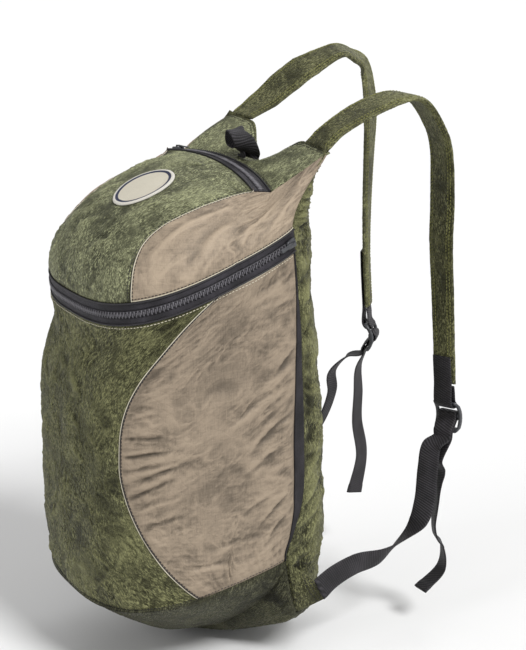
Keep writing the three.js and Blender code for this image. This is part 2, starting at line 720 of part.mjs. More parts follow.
// Ladder-lock buckle: two slots between three bars, arched away from the wearer
const archAt = (y) => BUCKLE_ARCH * (1 - (2 * y / BUCKLE_LENGTH) ** 2);
const SLOT_LOW = BUCKLE_BAR / 2;
const SLOT_HIGH = BUCKLE_LENGTH / 2 - BUCKLE_BAR;
function buckle(name, frame) {
  const slotHalf = WEBBING_WIDTH / 2 + 1;
  const columns = [-BUCKLE_WIDTH / 2, -slotHalf, slotHalf, BUCKLE_WIDTH / 2];
  const levels = [-BUCKLE_LENGTH / 2, -SLOT_HIGH, -SLOT_LOW, SLOT_LOW, SLOT_HIGH, BUCKLE_LENGTH / 2];
  const solid = (i, j) => i >= 0 && j >= 0 && i < 3 && j < 5 && !(i === 1 && j % 2 === 1);
  const points = [];
  for (const side of [1, -1]) {
    columns.forEach((x, i) => levels.forEach((y, j) => {
      const corner = i % 3 === 0 && j % 5 === 0 ? 0.35 * BUCKLE_BAR : 0;
      const place = inFrame(frame, y - Math.sign(y) * corner, archAt(y) + side * BUCKLE_THICKNESS / 2);
      points.push(place.addScaledVector(frame.across, x - Math.sign(x) * corner));
    }));
  }
  const half = columns.length * levels.length;
  const at = (i, j) => i * levels.length + j;
  const faces = [];
  const quad = (a, b, c, d) => faces.push([a, b, c], [a, c, d]);
  for (let i = 0; i < 3; i += 1) {
    for (let j = 0; j < 5; j += 1) {
      if (!solid(i, j)) continue;
      const [a, b, c, d] = [at(i, j), at(i + 1, j), at(i + 1, j + 1), at(i, j + 1)];
      quad(a, b, c, d);
      quad(half + a, half + d, half + c, half + b);
      if (!solid(i, j - 1)) quad(b, a, half + a, half + b);
      if (!solid(i + 1, j)) quad(c, b, half + b, half + c);
      if (!solid(i, j + 1)) quad(d, c, half + c, half + d);
      if (!solid(i - 1, j)) quad(a, d, half + d, half + a);
    }
  }
  return closedMesh(name, buckleGrey, points, faces);
}

// Frame of a buckle that hangs from the end of its strap
function buckleFrame(side, run) {
  const end = run[run.length - 1];
  const up = run[run.length - 3].place.clone().sub(end.place).normalize();
  const across = end.across.clone().multiplyScalar(-side);
  across.addScaledVector(up, -up.dot(across)).normalize();
  const face = across.clone().cross(up);
  const centre = end.place.clone()
    .addScaledVector(up, -BUCKLE_DISTANCE)
    .addScaledVector(face, BUCKLE_STANDOFF);
  return { across, up, face, centre };
}
const TONGUE_STATIONS = 4;
const inFrame = (frame, y, z) => (
  frame.centre.clone().addScaledVector(frame.up, y).addScaledVector(frame.face, z)
);
const flatKey = (place, across) => ({ place, across, width: WEBBING_WIDTH, thickness: WEBBING_THICKNESS });

// Middle of a webbing that lies on a face of the arched plate, 1 outer and -1 inner, as
// [along, over] in the buckle's frame; the slope is the plate's at the middle of its bar
const WEBBING_CLEAR = WEBBING_THICKNESS / 2 + 0.5;
function onPlate(y, middle, face, clear = WEBBING_CLEAR) {
  const slope = -8 * BUCKLE_ARCH * middle / BUCKLE_LENGTH ** 2;
  const steep = Math.hypot(slope, 1);
  return [
    y - face * clear * slope / steep,
    archAt(y) + face * (BUCKLE_THICKNESS / 2 + clear / steep),
  ];
}

// The same round an edge of the plate, which is open towards one side of it
function roundEdge(y, middle, face, open) {
  const slope = -8 * BUCKLE_ARCH * middle / BUCKLE_LENGTH ** 2;
  const steep = Math.hypot(slope, 1);
  const turn = [open - face * slope / steep, face / steep];
  const length = Math.hypot(...turn);
  return [
    y + WEBBING_CLEAR * turn[0] / length,
    archAt(y) + face * BUCKLE_THICKNESS / 2 + WEBBING_CLEAR * turn[1] / length,
  ];
}

// Webbing from the inner face of the strap's end, round the top bar and back up
function strapEnd(frame, run) {
  const top = BUCKLE_LENGTH / 2;
  const middle = (top + SLOT_HIGH) / 2;
  const inner = STRAP_THICKNESS / 2 + WEBBING_THICKNESS / 2 + SEAM_GAP + 0.2;
  const tongue = run.slice(-TONGUE_STATIONS).map((station) => (
    flatKey(station.place.clone().addScaledVector(frame.face, -inner), frame.across)
  ));
  const turns = [
    onPlate(top, middle, -1),
    roundEdge(SLOT_HIGH, middle, -1, -1),
    roundEdge(SLOT_HIGH, middle, 1, -1),
    onPlate(top, middle, 1),
    [BUCKLE_DISTANCE - 8, 0.5 - BUCKLE_STANDOFF],
    [BUCKLE_DISTANCE - 2.5, -BUCKLE_STANDOFF],
  ].map(([y, z]) => flatKey(inFrame(frame, y, z), frame.across));
  return smoothRun([...tongue, ...turns], 40);
}

// Webbing round the middle bar: up the inner side, over the bar and down behind the lip
function roundMiddle(frame) {
  const foot = -BUCKLE_LENGTH / 2;
  const middle = (foot - SLOT_HIGH) / 2;
  const beside = 3 * WEBBING_CLEAR;
  const [lowY, lowZ] = onPlate(foot, middle, -1, beside);
  return [
    [lowY - 6, lowZ - 1.5],
    [lowY, lowZ],
    onPlate(-SLOT_HIGH, middle, -1, beside),
    onPlate(-SLOT_LOW, 0, -1),
    roundEdge(SLOT_LOW, 0, -1, 1),
    roundEdge(SLOT_LOW, 0, 1, 1),
    roundEdge(-SLOT_LOW, 0, 1, -1),
    [-SLOT_LOW - WEBBING_THICKNESS, BUCKLE_ARCH - 1],
    onPlate(-SLOT_HIGH, middle, -1),
    onPlate(foot, middle, -1),
    [foot - 5, -BUCKLE_THICKNESS - 1],
  ].map(([y, z]) => inFrame(frame, y, z));
}

// Wing: a folded triangle of cloth at the foot of the back seam, which carries the webbing
const WING = [
  { out: 1.0, back: 0.5, up: -1 },
  { out: 7.5, back: 20.5, up: -17 },
  { out: 11.5, back: 34.5, up: -36 },
  { out: 1.0, back: 0.6, up: 2 },
];
function wingCorner(side, index) {
  const seam = backSeam(1, index < 3 ? FOOT_STEPS : 0);
  const row = WING[index];
  return vec(side * (seam.x + row.out), seam.y + row.back, seam.z + row.up);
}
function wing(side) {
  const [top, upper, lower, foot] = [0, 1, 2, 3].map((index) => wingCorner(side, index));
  const topSeam = backSeam(1, FOOT_STEPS);
  const footSeam = backSeam(1, 0);
  const bow = (t) => {
    const off = backSeam(1, FOOT_STEPS * (1 - t)).sub(blend(topSeam, footSeam, t));
    return off.setX(side * off.x);
  };
  return (s, t) => blend(blend(top, foot, t).add(bow(t)), blend(upper, lower, t), s);
}

const WING_CLEAR = 1.3;

// Lower webbing: from the wing to the buckle, round its middle bar and down as a free tail
function lowerWebbing(side, frame, rows, tail, tailLength) {
  const start = blend(wingCorner(side, 1), wingCorner(side, 2), 0.5);
  const root = blend(wingCorner(side, 0), wingCorner(side, 3), 0.5);
  start.add(start.clone().sub(root).setLength(WING_CLEAR)).setX(start.x + side * CLOTH / 2);
  const bend = roundMiddle(frame);
  const goal = bend[0];
  const route = rows.map((row) => flatKey(vec(
    mix(start.x, goal.x, row.out),
    mix(start.y, goal.y, row.back),
    mix(start.z, goal.z, row.up),
  ), vec(side * row.x, row.y, row.z)));
  const across = frame.across.clone().multiplyScalar(-side);
  const from = bend[bend.length - 1];
  const hang = tail.map((row) => flatKey(from.clone().add(vec(
    0,
    row.back * tailLength,
    -row.down * tailLength,
  )), acrossFrom(side, row.toe, 0)));
  return smoothRun([...route, ...bend.map((place) => flatKey(place, across)), ...hang], 76);
}

// Haul loop standing in the valley between the ears and leaning forwards
const HAUL_LOOP = [
  { x: 3, y: 71, up: 0, across: [1, 0.15, 0] },
  { x: 3.2, y: 70.9, up: 3, across: [1, 0.2, 0] },
  { x: 8, y: 68.5, up: 7, across: [0.75, 0.65, 0.05] },
  { x: 9, y: 61.5, up: 16, across: [0.1, 0.99, 0.1] },
  { x: 5, y: 58, up: 23, across: [-0.35, 0.93, 0.1] },
  { x: 0, y: 57.5, up: 25, across: [-0.45, 0.88, 0.1] },
  { x: -5, y: 58.5, up: 22, across: [-0.35, 0.93, 0.1] },
  { x: -9, y: 62, up: 15, across: [-0.1, 0.99, 0.05] },
  { x: -8, y: 65, up: 8, across: [-0.6, 0.8, 0] },
  { x: -3.2, y: 66, up: 3, across: [-1, 0.15, 0] },
  { x: -3, y: 66, up: 0, across: [-1, 0.1, 0] },
];
function haulLoop() {
  const seat = yoke(0, 0.3).z + SEAM_GAP + 2.4;
  return smoothRun(HAUL_LOOP.map((row) => ({
    place: vec(row.x, row.y, seat + row.up),
    across: vec(...row.across),
    width: LOOP_WIDTH,
    thickness: WEBBING_THICKNESS,
  })), 24);
}

// Round patch laid on the lid
function patch() {
  const centre = upperShell(0, PATCH_PLACE);
  const ahead = upperShell(0, PATCH_PLACE + 0.01).sub(centre).normalize();
  const sideways = vec(1, 0, 0);
  const normal = sideways.clone().cross(ahead);
  const seated = (radius, turn) => {
    const goal = centre.clone()
      .addScaledVector(sideways, radius * Math.cos(turn))
      .addScaledVector(ahead, radius * Math.sin(turn));
    let u = 0;
    let v = PATCH_PLACE;
    for (let i = 0; i < 8; i += 1) {
      const here = upperShell(u, v);
      const du = upperShell(u + 0.01, v).sub(here).multiplyScalar(100);
      const dv = upperShell(u, v + 0.01).sub(here).multiplyScalar(100);
      const miss = goal.clone().sub(here);
      const a = du.dot(sideways);
      const b = dv.dot(sideways);
      const c = du.dot(ahead);
      const d = dv.dot(ahead);
      const det = a * d - b * c;
      u += (miss.dot(sideways) * d - b * miss.dot(ahead)) / det;
      v += (a * miss.dot(ahead) - c * miss.dot(sideways)) / det;
    }
    return upperShell(u, v);
  };
  const sides = 24;
  const rings = [1, 0.67, 0.34];
  const points = [];
  const lift = (point, by) => point.clone().addScaledVector(normal, by);
  const half = rings.length * sides + 1;
  for (const by of [PATCH_CLEAR + PATCH_THICKNESS, PATCH_CLEAR]) {
    for (const ring of rings) {
      for (let i = 0; i < sides; i += 1) {
        points.push(lift(seated(ring * PATCH_DIAMETER / 2, 2 * Math.PI * i / sides), by));
      }
    }
    points.push(lift(centre, by));
  }
  const faces = [];
  const quad = (a, b, c, d) => faces.push([a, b, c], [a, c, d]);
  for (let i = 0; i < sides; i += 1) {
    const next = (i + 1) % sides;
    for (let k = 0; k < rings.length - 1; k += 1) {
      const a = k * sides + i;
      const b = k * sides + next;
      quad(a, b, b + sides, a + sides);
      quad(half + a, half + a + sides, half + b + sides, half + b);
    }
    const foot = (rings.length - 1) * sides;
    faces.push([foot + i, foot + next, half - 1], [half + foot + next, half + foot + i, 2 * half - 1]);
    quad(next, i, half + i, half + next);
  }
  return closedMesh("patch", patchCloth, points, faces);
}

// Zip parts: two tapes and the coil between them
function zip(name, surface, steps, bandWidth, reach) {
  const half = COIL_WIDTH / 2 / bandWidth;
  const strip = (from, to) => (s, t) => surface(mix(-reach, reach, s), mix(from, to, t));
  const tape = { wall: TAPE_THICKNESS, mitre: 0.3 };
  const coil = { wall: COIL_THICKNESS, proud: COIL_PROUD, mitre: 0.3 };
  return [
    panel(`${name}_tape_lower`, blackTape, strip(0, 0.5 - half), steps, 1, tape),
    panel(`${name}_coil`, blackTape, strip(0.5 - half, 0.5 + half), steps, 1, coil),
    panel(`${name}_tape_upper`, blackTape, strip(0.5 + half, 1), steps, 1, tape),
  ];
}

// Zip slider with its pull, one plain piece lying along the coil
function slider(name, surface, at, towards) {
  const seat = surface(at, 0.5);
  const along = surface(at + 0.01 * towards, 0.5).sub(seat).normalize();
  const over = surface(at, 0.6).sub(seat);
  const face = along.clone().cross(over).normalize();
  if (face.dot(seat.clone().sub(HEART)) < 0) face.negate();
  const across = face.clone().cross(along).normalize();
  const [body, pull] = [SLIDER_WIDTH / 2, PULL_WIDTH / 2];
  const shape = new THREE.Shape();
  shape.moveTo(-SLIDER_BACK, -body);
  shape.lineTo(SLIDER_FRONT, -body);
  shape.lineTo(SLIDER_FRONT + pull, -pull);
  shape.lineTo(PULL_REACH, -pull);
  shape.lineTo(PULL_REACH, pull);
  shape.lineTo(SLIDER_FRONT + pull, pull);
  shape.lineTo(SLIDER_FRONT, body);
  shape.lineTo(-SLIDER_BACK, body);
  const geometry = new THREE.ExtrudeGeometry(shape, { depth: SLIDER_THICKNESS, bevelEnabled: false });
  const mesh = new THREE.Mesh(geometry, buckleGrey);
  mesh.name = name;
  mesh.quaternion.setFromRotationMatrix(new THREE.Matrix4().makeBasis(along, across, face));
  mesh.position.copy(seat).addScaledVector(face, COIL_PROUD + SEAM_GAP);
  return mesh;
}

// Assembly
const pack = new THREE.Group();
pack.position.set(0, -SHOULDER_SETBACK, -SHOULDER_HEIGHT);
const parts = [];

const spread = (share) => (s, t) => [mix(-share(t), share(t), s), t];
const frontSpan = spread(crescent);
const lidSpan = spread(lidSeam);
const backFinish = { mitre: 4, crest: CREST };
const yokeFinish = { mitre: 3.3, crest: CREST };
const shoulderFinish = { mitre: 2.3, crest: CREST };
const tapeFinish = { wall: SIDE_TAPE_THICKNESS, mitre: 0.1 };
const wingFinish = { proud: CLOTH, mitre: 0 };

parts.push(panel("front_panel", olive, (s, t) => lowerShell(...frontSpan(s, t)), ACROSS, LOWER_STEPS));
parts.push(panel("lid", lidOlive, (s, t) => upperShell(...lidSpan(s, t)), ACROSS, UPPER_STEPS));
parts.push(panel("back_panel", olive, (s, t) => backPanel(mix(-1, 1, s), t), ACROSS, BACK_ROWS, backFinish));
parts.push(panel("yoke", lidOlive, (s, t) => yoke(mix(-1, 1, s), t), ACROSS, EAR_STEPS, yokeFinish));
parts.push(base("base_panel", olive));
parts.push(patch());
parts.push(...zip("pocket_zip", pocketZip, ZIP_STEPS, ZIP_BAND, 1));
parts.push(...zip("main_zip", mainZip, ACROSS, MAIN_ZIP_BAND, 0.985));
parts.push(slider("pocket_zip_slider", pocketZip, 0.97, -1));
parts.push(slider("main_zip_slider", mainZip, -0.93, 1));
parts.push(ribbon("haul_loop", blackWebbing, haulLoop(), FLAT_SECTION));

const SIDES = [
  { name: "right", side: 1, strap: RIGHT_STRAP, webbing: RIGHT_WEBBING, tail: RIGHT_TAIL },
  { name: "left", side: -1, strap: LEFT_STRAP, webbing: LEFT_WEBBING, tail: LEFT_TAIL },
];
for (const { name, side, strap, webbing, tail } of SIDES) {
  const lower = (s, t) => lowerShell(side * mix(crescent(t), tapeShare(t), s), t);
  const upper = (s, t) => upperShell(side * mix(lidSeam(t), 1, s), t);
  const strip = (s, t) => lowerShell(side * mix(tapeShare(t), 1, s), t);
  parts.push(panel(`side_lower_${name}`, taupe, lower, SIDE_STEPS, LOWER_STEPS));
  parts.push(panel(`side_tape_${name}`, blackTape, strip, 1, LOWER_STEPS, tapeFinish));
  parts.push(panel(`side_upper_${name}`, taupe, upper, SIDE_STEPS, UPPER_STEPS, shoulderFinish));
  parts.push(panel(`wing_${name}`, olive, wing(side), 3, 3, wingFinish));
  const run = smoothRun(strapKeys(side, strap), 34);
  const frame = buckleFrame(side, run);
  const hang = lowerWebbing(side, frame, webbing, tail, TAIL_LENGTH[name]);
  parts.push(ribbon(`strap_${name}`, olive, run, PADDED_SECTION));
  parts.push(ribbon(`strap_end_${name}`, blackWebbing, strapEnd(frame, run), FLAT_SECTION));
  parts.push(buckle(`buckle_${name}`, frame));
  parts.push(ribbon(`lower_webbing_${name}`, blackWebbing, hang, FLAT_SECTION));
}

pack.add(...parts);
const group = new THREE.Group();
group.add(pack);

export default group;
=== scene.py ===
"""A light packable day pack, sewn from surfaces of two parameters.

Sizes are millimetres in the pack's own frame, whose heights run from its lowest point,
and every mesh is stored in metres with the shoulders' mount as its origin.
"""

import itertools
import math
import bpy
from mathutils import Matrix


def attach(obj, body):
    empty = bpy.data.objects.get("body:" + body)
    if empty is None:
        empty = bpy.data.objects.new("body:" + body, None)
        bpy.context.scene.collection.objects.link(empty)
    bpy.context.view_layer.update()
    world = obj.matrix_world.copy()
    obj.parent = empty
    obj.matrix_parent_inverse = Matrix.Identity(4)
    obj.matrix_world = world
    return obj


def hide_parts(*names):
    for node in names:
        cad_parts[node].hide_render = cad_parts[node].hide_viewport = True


bl_info = {
    "name": "Packable Day Pack",
    "version": (1, 0, 0),
    "blender": (4, 5, 0),
    "location": "View3D > Sidebar > Day Pack",
    "description": "Sews a stuffed packable day pack with its straps, webbing and zips",
    "category": "Add Mesh",
}

import bpy
import numpy as np
from mathutils import Vector

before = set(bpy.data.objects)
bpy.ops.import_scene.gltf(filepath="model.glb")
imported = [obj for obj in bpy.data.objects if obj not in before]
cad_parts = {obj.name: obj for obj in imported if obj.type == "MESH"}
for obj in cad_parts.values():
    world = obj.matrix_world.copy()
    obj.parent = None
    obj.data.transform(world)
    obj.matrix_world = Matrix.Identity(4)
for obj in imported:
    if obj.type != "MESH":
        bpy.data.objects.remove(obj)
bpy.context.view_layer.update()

# Place of the shoulders' mount in the pack's own frame
MOUNT = np.array([0.0, 185.0, 482.0])
MM = 0.001

# Body
HALF_WIDTH, FRONT_DEPTH, BACK_DEPTH = 118.0, 112.0, 118.0
CORNER_POWER, SEAM_ANGLE = 2.8, 118.0
HEART = np.array([0.0, 10.0, 220.0])
CLOTH, SEAM_GAP = 1.1, 0.3

# Base and back seams
BASE_SEAM_HEIGHT, BASE_SEAM_SLOPE, BACK_PANEL_FOOT = 61.5, 0.22, 40.0
BASE_CENTRE, BASE_LIFT = -5.0, 2.0
BASE_TAPER = {"front": 1.4, "rear": 1.2}
BASE_SINK = {"front": 2.2, "rear": 1.0}
FOOT_ROWS, LOWER_ROWS, BAND_ROWS, UPPER_ROWS = 3.0, 12.0, 1.0, 7.0
BACK_ROWS = FOOT_ROWS + LOWER_ROWS + BAND_ROWS + UPPER_ROWS

# Zips
POCKET_ZIP_HEIGHT, POCKET_ZIP_SLOPE, ZIP_BAND = 307.0, 0.365, 18.5
MAIN_ZIP_HALF_LENGTH, MAIN_ZIP_SETBACK, MAIN_ZIP_HEIGHT = 85.0, 38.0, 432.0
MAIN_ZIP_BOW, MAIN_ZIP_DROOP, MAIN_ZIP_BAND, TOP_LEAN = 7.0, 8.0, 19.0, 5.5
COIL_WIDTH = 5.5

# Yoke, ears and curved side seam
EAR_SETBACK, EAR_HEIGHT, EAR_HALF_SPAN = 101.0, 453.0, 90.0
VALLEY_SETBACK, VALLEY_HEIGHT = 84.0, 427.0
ZIP_SHARE, ZIP_END_SHARE = 0.7, 0.775
CRESCENT_WAIST = 0.52
CRESCENT_ANGLES = {"front": 38.6, "top": 85.0, "base": 78.0}
SIDE_TAPE_WIDTH = 12.5
PATCH_PLACE = 0.645
STRAP_WIDTH, STRAP_THICKNESS, STRAP_REACH, STRAP_DROP, STRAP_SPREAD = 41.0, 5.0, 120.0, 227.0, 16.0

HANDS = ((1, "right"), (-1, "left"))


def table(names, *rows):
    """Columns of a short table by name."""
    return dict(zip(names.split(), np.array(rows, float).T))


# Body sections: heights as shares of the pocket zip's, sizes as shares of the depths
SECTIONS = table(
    "height width front back seam",
    (0.0, 0.86, 0.63, 0.83, 121),
    (0.1, 0.93, 0.74, 0.95, 119),
    (0.2, 0.975, 0.943, 0.97, 112),
    (0.33, 1.0, 1.0, 0.995, 106.5),
    (0.39, 1.0, 1.005, 1.0, 110.5),
    (0.5, 1.0, 1.01, 1.0, 117.5),
    (0.68, 1.0, 1.005, 0.995, 118.0),
    (0.78, 1.0, 0.985, 0.975, 118.5),
    (0.88, 1.0, 0.93, 0.935, 119.5),
    (0.97, 1.0, 0.875, 0.91, 120.5),
    (1.08, 1.0, 0.895, 0.88, 119.5),
    (1.24, 0.98, 0.9, 0.875, 117),
    (1.5, 0.9, 0.9, 0.875, 116),
)
TAPE_WIDTHS = table(
    "height width",
    (0.0, 0.1), (0.07, 0.3), (0.17, 0.75), (0.23, 1.0), (0.45, 1.0),
    (0.62, 0.7), (0.78, 0.45), (0.86, 0.2), (1.0, 0.12),
)
FULLNESS = table(
    "share rise reach drop",
    (0.0, 56, 63, 5), (0.25, 52, 59, 6), (0.45, 46, 48, 8),
    (0.6, 30, 28, 12), (0.75, 20, 16, 16), (1.0, 20, 15, 17),
)
LID_SEAM = table(
    "height share",
    (0.0, 0.347), (0.12, 0.342), (0.25, 0.328), (0.36, 0.324), (0.46, 0.346),
    (0.55, 0.394), (0.68, 0.471), (0.83, 0.56), (0.95, 0.65), (1.0, ZIP_SHARE),
)


def mix(a, b, t):
    return a + (b - a) * t


def column(rows, along, name, at):
    """Cubic through a table's rows, with each slope taken across the two neighbours."""
    x, y = rows[along], rows[name]
    last = len(x) - 1
    before, after = np.maximum(np.arange(last + 1) - 1, 0), np.minimum(np.arange(last + 1) + 1, last)
    slope = (y[after] - y[before]) / (x[after] - x[before])
    at = np.clip(at, x[0], x[-1])
    i = np.clip(np.searchsorted(x, at, side="right") - 1, 0, last - 1)
    span = x[i + 1] - x[i]
    t = (at - x[i]) / span
    rise, fall, step = slope[i] * span, slope[i + 1] * span, y[i + 1] - y[i]
    return y[i] + t * (rise + t * (3 * step - 2 * rise - fall + t * (rise + fall - 2 * step)))


def xyz(x, y, z):
    """Points from three arrays of one shape."""
    return np.stack(np.broadcast_arrays(x, y, z), -1).astype(float)


def unit(vectors):
    return vectors / np.maximum(np.linalg.norm(vectors, axis=-1, keepdims=True), 1e-9)


def smooth(t):
    t = np.clip(t, 0, 1)
    return t * t * (3 - 2 * t)


def run_lengths(points):
    """Length of a line of points, from its start to each of them."""
    return np.append(0, np.cumsum(np.linalg.norm(np.diff(points, axis=0), axis=1)))


def read_along(seats, run, vectors):
    """Vectors at given lengths of a line, mixed between those of its points."""
    return np.stack([np.interp(seats, run, vectors[:, k]) for k in range(3)], -1)


# Body shell

def body_point(angle, height):
    """Rounded section at a height: half width and depth each times a power of sine and cosine."""
    level = height / POCKET_ZIP_HEIGHT
    sine, cosine = np.sin(angle), np.cos(angle)
    depth = np.where(
        cosine > 0,
        FRONT_DEPTH * column(SECTIONS, "height", "front", level),
        BACK_DEPTH * column(SECTIONS, "height", "back", level),
    )
    power = 2 / CORNER_POWER
    return xyz(
        HALF_WIDTH * column(SECTIONS, "height", "width", level) * np.sign(sine) * np.abs(sine) ** power,
        -depth * np.sign(cosine) * np.abs(cosine) ** power,
        height,
    )


def even_angles(start, stop):
    """Section angles with the length of cloth up to each, as shares of the whole."""
    angles = np.radians(np.linspace(start, stop, 241))
    points = body_point(angles, np.full(241, POCKET_ZIP_HEIGHT / 2))
    lengths = run_lengths(points)
    return angles, lengths / lengths[-1], lengths[-1]


FRONT_ANGLES, FRONT_SHARES, FRONT_TOTAL = even_angles(0, SEAM_ANGLE)
REAR_ANGLES, REAR_SHARES, _ = even_angles(180, SEAM_ANGLE)


def seam_shift(share, height):
    """How far the wandering back seam turns the cloth near it."""
    seam = column(SECTIONS, "height", "seam", height / POCKET_ZIP_HEIGHT)
    return np.radians(seam - SEAM_ANGLE) * np.abs(share) ** 6


def shell_point(u, height):
    """Point of the front and sides: u is the share of the way from centre front to back seam."""
    angle = np.interp(np.abs(u), FRONT_SHARES, FRONT_ANGLES) + seam_shift(u, height)
    return body_point(np.sign(u) * angle, height)


def rear_angle(s, height):
    return np.interp(np.abs(s), REAR_SHARES, REAR_ANGLES) + seam_shift(s, height)


def share_of(degrees):
    return np.interp(np.radians(degrees), FRONT_ANGLES, FRONT_SHARES)


def on_slant(u, height, slope):
    """Height at which a plane that climbs towards the back crosses the shell, by iteration."""
    level = np.full(np.shape(u), float(height))
    for _ in range(5):
        level = height + slope * (shell_point(u, level)[..., 1] + FRONT_DEPTH)
    return level


def base_seam_height(u):
    return on_slant(u, BASE_SEAM_HEIGHT, BASE_SEAM_SLOPE)


def zip_height(u):
    return on_slant(u, POCKET_ZIP_HEIGHT, POCKET_ZIP_SLOPE)


def lower_shell(u, v):
    """Shell from the base seam, v 0, to the pocket zip, v 1."""
    return shell_point(u, mix(base_seam_height(u), zip_height(u), v))


def pocket_zip(u, v):
    return shell_point(u, zip_height(u) + ZIP_BAND * v)


def crescent(v):
    """Share at which the curved seam crosses the lower shell: two powers from its waist."""
    above = (v - CRESCENT_WAIST) / (1 - CRESCENT_WAIST)
    below = 1 - v / CRESCENT_WAIST
    up = mix(CRESCENT_ANGLES["front"], CRESCENT_ANGLES["top"], np.clip(above, 0, 1) ** 3.2)
    down = mix(CRESCENT_ANGLES["front"], CRESCENT_ANGLES["base"], np.clip(below, 0, 1) ** 1.6)
    return share_of(np.where(v > CRESCENT_WAIST, up, down))


def tape_share(v):
    return 1 - SIDE_TAPE_WIDTH * column(TAPE_WIDTHS, "height", "width", v) / FRONT_TOTAL


def main_zip(s, v):
    """Main zip: a band that bows forward and droops at its ends and leans to one side."""
    return xyz(
        MAIN_ZIP_HALF_LENGTH * s,
        MAIN_ZIP_SETBACK - MAIN_ZIP_BOW * s * s + MAIN_ZIP_BAND * v * (1 - 0.12 * s * s),
        MAIN_ZIP_HEIGHT - MAIN_ZIP_DROOP * s * s - TOP_LEAN * s - 2 * v,
    )


def yoke_rear(s):
    """Rear edge of the yoke: a valley between two ears."""
    climb = smooth(np.abs(s) * EAR_HALF_SPAN / (EAR_HALF_SPAN - STRAP_WIDTH))
    return xyz(
        s * EAR_HALF_SPAN,
        mix(VALLEY_SETBACK, EAR_SETBACK, climb),
        mix(VALLEY_HEIGHT, EAR_HEIGHT, climb) - TOP_LEAN * s,
    )


def ear_edge(side, t):
    """Outer edge of an ear, a straight line with a slight belly."""
    t = np.asarray(t, float)
    start, stop = main_zip(side, 1.0), yoke_rear(side)
    belly = np.sin(np.pi * t)[..., None] * xyz(side * 3.0, -2.5, 0.0)
    return mix(start, stop, t[..., None]) + belly


def top_line(u):
    """Top line of the upper shell: the zip's edge, the zip's end, then the ear."""
    side, reach = np.where(u < 0, -1.0, 1.0), np.abs(u)
    along = main_zip(np.clip(u / ZIP_SHARE, -1, 1), 0.0)
    end = main_zip(side, np.clip((reach - ZIP_SHARE) / (ZIP_END_SHARE - ZIP_SHARE), 0, 1))
    ear = ear_edge(side, np.clip((reach - ZIP_END_SHARE) / (1 - ZIP_END_SHARE), 0, 1))
    pick = reach[..., None]
    return np.where(pick <= ZIP_SHARE, along, np.where(pick <= ZIP_END_SHARE, end, ear))


def upper_shell(u, v):
    """Cubic Bezier from the pocket zip to the top line, full in front and short at the sides."""
    u, v = np.broadcast_arrays(np.asarray(u, float), np.asarray(v, float))
    foot, top, share = pocket_zip(u, 1.0), top_line(u), np.abs(u)
    rise, reach, drop = (column(FULLNESS, "share", name, share) for name in ("rise", "reach", "drop"))
    out = unit((foot - top) * [1, 1, 0])
    low = foot + xyz(0, 0, rise) + 2 * out
    high = top + out * reach[..., None] - xyz(0, 0, drop)
    w = v[..., None]
    return (1 - w) ** 3 * foot + 3 * (1 - w) ** 2 * w * low + 3 * (1 - w) * w * w * high + w ** 3 * top


def lid_seam(v):
    return column(LID_SEAM, "height", "share", v)


def yoke(s, t):
    """Yoke between the zip, the ears and the valley: four edges blended (Coons)."""
    s, t = np.broadcast_arrays(np.asarray(s, float), np.asarray(t, float))
    across, over = ((s + 1) / 2)[..., None], t[..., None]
    rails = mix(main_zip(s, 1.0), yoke_rear(s), over)
    ends = mix(ear_edge(-np.ones_like(s), t), ear_edge(np.ones_like(s), t), across)
    flat = mix(
        mix(main_zip(-1.0, 1.0), main_zip(1.0, 1.0), across),
        mix(yoke_rear(-1.0), yoke_rear(1.0), across),
        over,
    )
    return rails + ends - flat


def back_seam(side, row):
    """Back seam from the foot of the back panel to the ear, by the panels' shared rows."""
    row = np.asarray(row, float)
    u = side * np.ones_like(row)
    foot = shell_point(u, mix(BACK_PANEL_FOOT, base_seam_height(u), np.clip(row / FOOT_ROWS, 0, 1)))
    low = lower_shell(u, np.clip((row - FOOT_ROWS) / LOWER_ROWS, 0, 1))
    band = pocket_zip(u, np.clip((row - FOOT_ROWS - LOWER_ROWS) / BAND_ROWS, 0, 1))
    high = upper_shell(u, np.clip((row - FOOT_ROWS - LOWER_ROWS - BAND_ROWS) / UPPER_ROWS, 0, 1))
    pick = row[..., None]
    steps = [pick <= FOOT_ROWS, pick <= FOOT_ROWS + LOWER_ROWS, pick <= FOOT_ROWS + LOWER_ROWS + BAND_ROWS]
    return np.select([np.broadcast_to(k, foot.shape) for k in steps], [foot, low, band], high)


def back_panel(s, t):
    """Back panel: the section's rear arc hung between the two seams, settling onto the yoke's edge."""
    s, t = np.broadcast_arrays(np.asarray(s, float), np.asarray(t, float))

    def arc(row):
        left = back_seam(-1.0, row) * [-1, 1, 1]
        seam = mix(back_seam(1.0, row), left, ((1 - s) / 2)[..., None])
        height = seam[..., 2]
        section = body_point(rear_angle(s, height), height)
        edge = body_point(rear_angle(np.ones_like(s), height), height)
        middle = body_point(np.full(s.shape, np.pi), height)[..., 1]
        swell = (section[..., 1] - edge[..., 1]) / (middle - edge[..., 1])
        crown = np.maximum(middle, seam[..., 1] + 2)
        return xyz(
            np.sign(s) * seam[..., 0] * section[..., 0] / edge[..., 0],
            mix(seam[..., 1], crown, swell),
            height,
        )

    settle = smooth((t - 0.72) / 0.28)[..., None]
    miss = yoke_rear(s) - arc(np.full(s.shape, BACK_ROWS))
    return arc(t * BACK_ROWS) + miss * settle


# Base

def seam_loop(steps):
    """Loop of the base's seams: front and sides, right back seam, back panel's foot, left back seam."""
    rows = np.linspace(FOOT_ROWS, 0, steps // 12 + 1)[:-1]
    span = np.linspace(-1, 1, steps + 1)[:-1]
    return np.concatenate([
        lower_shell(span, 0.0),
        back_seam(1.0, rows),
        back_panel(-span, 0.0),
        back_seam(-1.0, FOOT_ROWS - rows),
    ])


